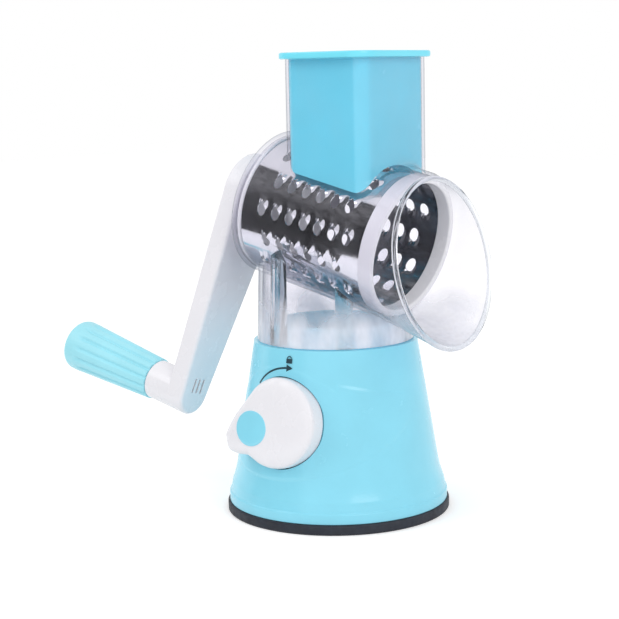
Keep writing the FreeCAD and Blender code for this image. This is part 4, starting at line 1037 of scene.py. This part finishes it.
# The drum's ends: the sheet sits in the front ring's groove and on the rear hub's spigot
RING_BORE = 34.3
RING_OUTSIDE = 37.9
RING_REAR = 44.5
RING_FRONT = 52.6
GROOVE_INSIDE = 35.85
GROOVE_OUTSIDE = 36.55
GROOVE_END = 46.55
HUB_RADIUS = 37.2
HUB_REAR = -36.5
SPIGOT_BORE = 33.9
SPIGOT_END = -28.5
SOCKET_RADIUS = 12.0
SOCKET_END = -21.5
BUSH_BORE = 7.6
BUSH_RADIUS = 10.5
BUSH_FLANGE = 13.0
BUSH_REAR = -49.6
BUSH_FRONT = -37.8

drum = dress(make_drum(), "crank", "polished_steel", "steel", "drum_sheet")
paint_bore_shade(drum)
front_ring = lathe("front_ring", rounded(
    [(RING_BORE, RING_REAR), (GROOVE_INSIDE, RING_REAR), (GROOVE_INSIDE, GROOVE_END),
     (GROOVE_OUTSIDE, GROOVE_END), (GROOVE_OUTSIDE, RING_REAR), (RING_OUTSIDE, RING_REAR),
     (RING_OUTSIDE, RING_FRONT), (RING_BORE, RING_FRONT)], [0.3, 0, 0, 0, 0, 0.4, 1.2, 1.2]), DRUM)
dress(front_ring, "crank", "white_plastic", "white", "drum_front_ring")
rear_hub = lathe("rear_hub", rounded(
    [(0, HUB_REAR), (HUB_RADIUS, HUB_REAR), (HUB_RADIUS, DRUM_REAR), (GROOVE_INSIDE, DRUM_REAR),
     (GROOVE_INSIDE, SPIGOT_END), (SPIGOT_BORE, SPIGOT_END), (SPIGOT_BORE, DRUM_REAR),
     (SOCKET_RADIUS, DRUM_REAR), (SOCKET_RADIUS, SOCKET_END), (0, SOCKET_END)],
    [0, 0.5, 0.5, 0, 0.4, 0.4, 1.5, 2.5, 1.5, 0]), DRUM)
dress(rear_hub, "crank", "white_plastic", "hub", "drum_rear_hub")
bush = lathe("bush", rounded(
    [(BUSH_BORE, BUSH_REAR), (BUSH_FLANGE, BUSH_REAR), (BUSH_FLANGE, NOSE_END),
     (BUSH_RADIUS, NOSE_END), (BUSH_RADIUS, BUSH_FRONT), (BUSH_BORE, BUSH_FRONT)],
    [0.4, 0.5, 0.3, 0.2, 0.3, 0.3]), DRUM, 96)
dress(bush, "base", "white_plastic", "white", "drum_bush")

# Crank arm
CRANK_LENGTH = 119.0
CRANK_ANGLE = math.radians(15.1)
ARM_REAR = -62.0
ARM_FRONT = -50.0
ARM_HUB = 21.3
ARM_END = 11.4
ARM_EDGE = 2.2
BOSS_REAR = -78.6
SLOT_INSET = 10.0
SLOT_LENGTH = 8.5
SLOT_WIDTH = 1.3
SLOT_PITCH = 3.6
SLOT_DEPTH = 1.2


def on_arm(along, across, height):
    """A point of the crank's plane, measured along the arm from the drum's axis."""
    return (along * math.cos(CRANK_ANGLE) + across * math.sin(CRANK_ANGLE),
            across * math.cos(CRANK_ANGLE) - along * math.sin(CRANK_ANGLE), height)


def slot_outline(index):
    low, high = CRANK_LENGTH - SLOT_INSET, CRANK_LENGTH - SLOT_INSET + SLOT_LENGTH
    middle = index * SLOT_PITCH
    half = SLOT_WIDTH / 2
    return rounded([(low, middle - half), (high, middle - half), (high, middle + half),
                    (low, middle + half)], [half * 0.95] * 4, 30)


def arm_loop(inset, height):
    """A loop of the tapered arm, drawn in by the inset."""
    sine = (ARM_HUB - ARM_END) / CRANK_LENGTH
    lean = math.degrees(math.asin(sine))
    loop = []
    for centre, radius, start, end in ((0.0, ARM_HUB, 90 - lean, 270 + lean),
                                       (CRANK_LENGTH, ARM_END, -90 + lean, 90 - lean)):
        steps = 60
        for i in range(steps + 1):
            angle = math.radians(start + (end - start) * i / steps)
            x = centre + (radius - inset) * math.cos(angle)
            y = (radius - inset) * math.sin(angle)
            loop.append(on_arm(x, y, height))
    return loop


def make_arm():
    turn = [(ARM_EDGE - ARM_EDGE * math.sin(math.radians(a)),
             ARM_EDGE - ARM_EDGE * math.cos(math.radians(a))) for a in range(0, 91, 15)]
    loops = [arm_loop(inset, ARM_REAR + lift) for inset, lift in turn]
    loops += [arm_loop(inset, ARM_FRONT - lift) for inset, lift in reversed(turn)]
    arm = skin("arm", loops, DRUM)
    boss = lathe("boss", rounded(
        [(0, BOSS_REAR), (ARM_END - 0.1, BOSS_REAR), (ARM_END - 0.02, ARM_REAR + 6),
         (0, ARM_REAR + 6)], [0, 0.8, 0, 0]), GRIP, 96)
    combine(arm, boss, "UNION")
    for k in (-1, 0, 1):
        cutter = skin("slot", [[on_arm(x, y, height) for x, y in slot_outline(k)]
                               for height in (ARM_FRONT - SLOT_DEPTH, ARM_FRONT + 1)], DRUM)
        combine(arm, cutter, "DIFFERENCE")
    soften(arm, 32)
    return arm


def make_slot_shade_floors():
    """Dark floors in the arm's three slots: painted shade for the hollow inside them."""
    floors = [new_piece("slot_shade_floor", [on_arm(x, y, ARM_FRONT - SLOT_DEPTH + 0.1)
                                       for x, y in slot_outline(k)],
                        [tuple(range(len(slot_outline(k))))], DRUM) for k in (-1, 0, 1)]
    return joined("arm_slot_shade_floors", floors)


arm = make_arm()
dress(arm, "crank", "white_plastic", "white", "crank_arm")
# the slot floors carry painted shade
dress(make_slot_shade_floors(), "crank", "white_plastic", "hollow")

# Grip
GRIP_FRONT = -78.95
GRIP_REAR = -142.95
GRIP_LARGE = 14.8
GRIP_SMALL = 12.0
GRIP_STEP = 1.2
FLUTES = 14
FLUTE_DEPTH = 1.15
FLUTE_STEPS = 16


def make_grip():
    """The fluted sleeve and its cap, closed at both ends."""
    loops = []
    profile = rounded(
        [(0, GRIP_REAR), (9, GRIP_REAR), (GRIP_LARGE, GRIP_REAR + 1.5),
         (GRIP_LARGE - 0.05, GRIP_REAR + 9), (GRIP_SMALL, GRIP_FRONT), (0, GRIP_FRONT)],
        [0, 3, 4.5, 12, 1.0, 0], 8)
    dense = []
    for i in range(len(profile) - 1):
        start, end = profile[i], profile[i + 1]
        pieces = max(1, int((end - start).length / GRIP_STEP))
        dense += [start.lerp(end, k / pieces) for k in range(pieces)]
    dense.append(profile[-1])
    steps = FLUTES * FLUTE_STEPS
    for r, z in dense:
        depth = FLUTE_DEPTH * window(z, GRIP_REAR + 9, GRIP_FRONT + 3.5, 5)
        loop = []
        for i in range(steps):
            angle = 2 * math.pi * i / steps
            wave = max(0.0, math.cos(angle * FLUTES)) ** 1.5
            radius = max(r - depth * wave * min(1, r / 8), 0.002)
            loop.append((radius * math.cos(angle), radius * math.sin(angle), z))
        loops.append(loop)
    grip = skin("grip_sleeve", loops, GRIP)
    soften(grip, 50)
    return grip


dress(make_grip(), "grip", "blue_plastic", "grip", "grip", "grip_cap")


# Pusher
FLANGE = 3.4
OVERHANG = 3.2
PUSHER_PLAY = 0.35
PUSHER_WALL = 2.2
PUSHER_CUT = 39.1


def make_pusher():
    """The hollow pusher: walls, a rounded flange on the chute's edge, and an open top."""
    shrink = CHUTE["wall"] + PUSHER_PLAY
    half_x, half_y = CHUTE["half_length"] - shrink, CHUTE["half_width"] - shrink
    corner = CHUTE["corner"] - shrink
    inner_x, inner_y = half_x - PUSHER_WALL, half_y - PUSHER_WALL
    low = CHUTE["top"]
    high = low + FLANGE

    def flange_loop(inset, height):
        return box_loop(CHUTE["half_length"] + OVERHANG - inset,
                        CHUTE["half_width"] + OVERHANG - inset,
                        CHUTE["corner"] + OVERHANG - inset, height)

    return skin("pusher_body", [
        box_loop(half_x, half_y, corner, AXIS_HEIGHT),
        box_loop(half_x, half_y, corner, low - 0.5),
        box_loop(half_x + 0.5, half_y + 0.5, corner + 0.5, low),
        flange_loop(0.8, low), flange_loop(0.2, low + 0.3), flange_loop(0, low + 0.9),
        flange_loop(0, high - 0.9), flange_loop(0.25, high - 0.25), flange_loop(0.9, high),
        box_loop(inner_x + 0.6, inner_y + 0.6, corner, high),
        box_loop(inner_x, inner_y, corner, high - 0.6),
        box_loop(inner_x, inner_y, corner, AXIS_HEIGHT + 20)], STAND)


def cut_pusher(pusher):
    """Cuts the lower end to follow the drum, clear of its teeth."""
    below = lathe("below", [(0, -90), (PUSHER_CUT, -90), (PUSHER_CUT, 90), (0, 90)], DRUM)
    combine(pusher, below, "DIFFERENCE")
    soften(pusher, 30)
    return pusher


pusher = cut_pusher(make_pusher())
dress(pusher, "pusher", "blue_plastic", "pusher", "pusher")


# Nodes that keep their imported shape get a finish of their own
for node, material in (("clamp_plate", "inner"), ("plate_screws", "fastener"),
                       ("suction_plunger", "inner"), ("knob_shaft", "inner"),
                       ("shaft_clip", "fastener"), ("drive_shaft", "white"),
                       ("crank_screw", "fastener"), ("grip_pin", "fastener"),
                       ("return_spring", "fastener")):
    kept = frame["nodes"][node]
    kept.data.materials.clear()
    kept.data.materials.append(MATERIALS[material])


# Studio: pale floor, white surroundings and soft lamps
WORLD_LEVEL = 0.80
FLOOR_SIZE = 6.0
FLOOR_GLOW = 0.3


def seen_directly(tree):
    """1 for what the camera, a reflection or a clear piece sees, 0 for what lights the object."""
    path = tree.nodes.new("ShaderNodeLightPath")
    seen = path.outputs["Is Camera Ray"]
    for ray in ("Is Glossy Ray", "Is Transmission Ray"):
        either = tree.nodes.new("ShaderNodeMath")
        either.operation = "MAXIMUM"
        link(tree, seen, either.inputs[0])
        link(tree, path.outputs[ray], either.inputs[1])
        seen = either.outputs["Value"]
    return seen


def make_floor():
    half = FLOOR_SIZE / 2
    mesh = bpy.data.meshes.new("floor")
    mesh.from_pydata([(-half, -half, 0), (half, -half, 0), (half, half, 0), (-half, half, 0)], [],
                     [(0, 1, 2, 3)])
    floor = add_object("floor", mesh)
    material, tree, shader = new_material("floor_paper")
    link(tree, blended(tree, ranged(tree, noise_of(tree, 8), 0, 1), (0.90, 0.90, 0.90),
                       (0.93, 0.93, 0.93)), shader.inputs["Base Color"])
    shader.inputs["Roughness"].default_value = 0.9
    shader.inputs["Specular IOR Level"].default_value = 0.0
    strength = tree.nodes.new("ShaderNodeMath")
    strength.operation = "MULTIPLY"
    strength.inputs[1].default_value = FLOOR_GLOW
    link(tree, seen_directly(tree), strength.inputs[0])
    shader.inputs["Emission Color"].default_value = (1, 1, 1, 1)
    link(tree, strength.outputs["Value"], shader.inputs["Emission Strength"])
    mesh.materials.append(material)


def make_world():
    world = bpy.data.worlds.new("studio")
    scene.world = world
    world.use_nodes = True
    tree = world.node_tree
    background = tree.nodes["Background"]
    background.inputs["Color"].default_value = (1, 1, 1, 1)
    level = ranged(tree, seen_directly(tree), WORLD_LEVEL, 1.0, 0, 1)
    link(tree, level, background.inputs["Strength"])


def make_card(name, corners, level):
    """A card that only reflections see; the dark one shapes the polished drum."""
    mesh = bpy.data.meshes.new(name)
    mesh.from_pydata(corners, [], [tuple(range(len(corners)))])
    card = add_object(name, mesh)
    card.visible_camera = False
    card.visible_diffuse = False
    card.visible_shadow = False
    card.visible_transmission = False
    card.visible_volume_scatter = False
    material = bpy.data.materials.new(name + "_paper")
    material.use_nodes = True
    tree = material.node_tree
    tree.nodes.clear()
    light = tree.nodes.new("ShaderNodeEmission")
    light.inputs["Color"].default_value = (1, 1, 1, 1)
    light.inputs["Strength"].default_value = level
    output = tree.nodes.new("ShaderNodeOutputMaterial")
    link(tree, light.outputs["Emission"], output.inputs["Surface"])
    mesh.materials.append(material)


# The dark card stands on the side that the photographed drum reflects; lengths in metres
CARD_BEARING = math.radians(234.2)
CARD_DISTANCE = 0.616
CARD_HALF = 0.375
CARD_TOP = 1.15
CARD_LEVEL = 0.02


def card_point(distance, across, height=0.003):
    """A point beside the object: out towards the card and across it."""
    return (distance * math.cos(CARD_BEARING) - across * math.sin(CARD_BEARING),
            distance * math.sin(CARD_BEARING) + across * math.cos(CARD_BEARING), height)


def make_lamp(name, place, target, size, power):
    data = bpy.data.lights.new(name, "AREA")
    data.shape = "SQUARE"
    data.size = size
    data.energy = power
    lamp = bpy.data.objects.new(name, data)
    scene.collection.objects.link(lamp)
    lamp.location = place
    lamp.rotation_euler = (Vector(target) - Vector(place)).to_track_quat("-Z", "Y").to_euler()


make_floor()
make_world()
make_card("dark_card", [card_point(CARD_DISTANCE, -CARD_HALF),
                        card_point(CARD_DISTANCE, CARD_HALF),
                        card_point(CARD_DISTANCE, CARD_HALF, CARD_TOP),
                        card_point(CARD_DISTANCE, -CARD_HALF, CARD_TOP)], CARD_LEVEL)
make_card("dark_floor_card", [card_point(CARD_DISTANCE, -CARD_HALF), card_point(0.27, -CARD_HALF),
                              card_point(0.30, -0.05), card_point(0.48, 0.04),
                              card_point(CARD_DISTANCE, CARD_HALF)], CARD_LEVEL)
make_lamp("key_lamp", (-0.9, -1.0, 1.3), (0, 0, 0.12), 0.9, 6)
make_lamp("fill_lamp", (1.3, -0.6, 0.9), (0, 0, 0.12), 0.8, 5)

scene.view_settings.view_transform = "Standard"
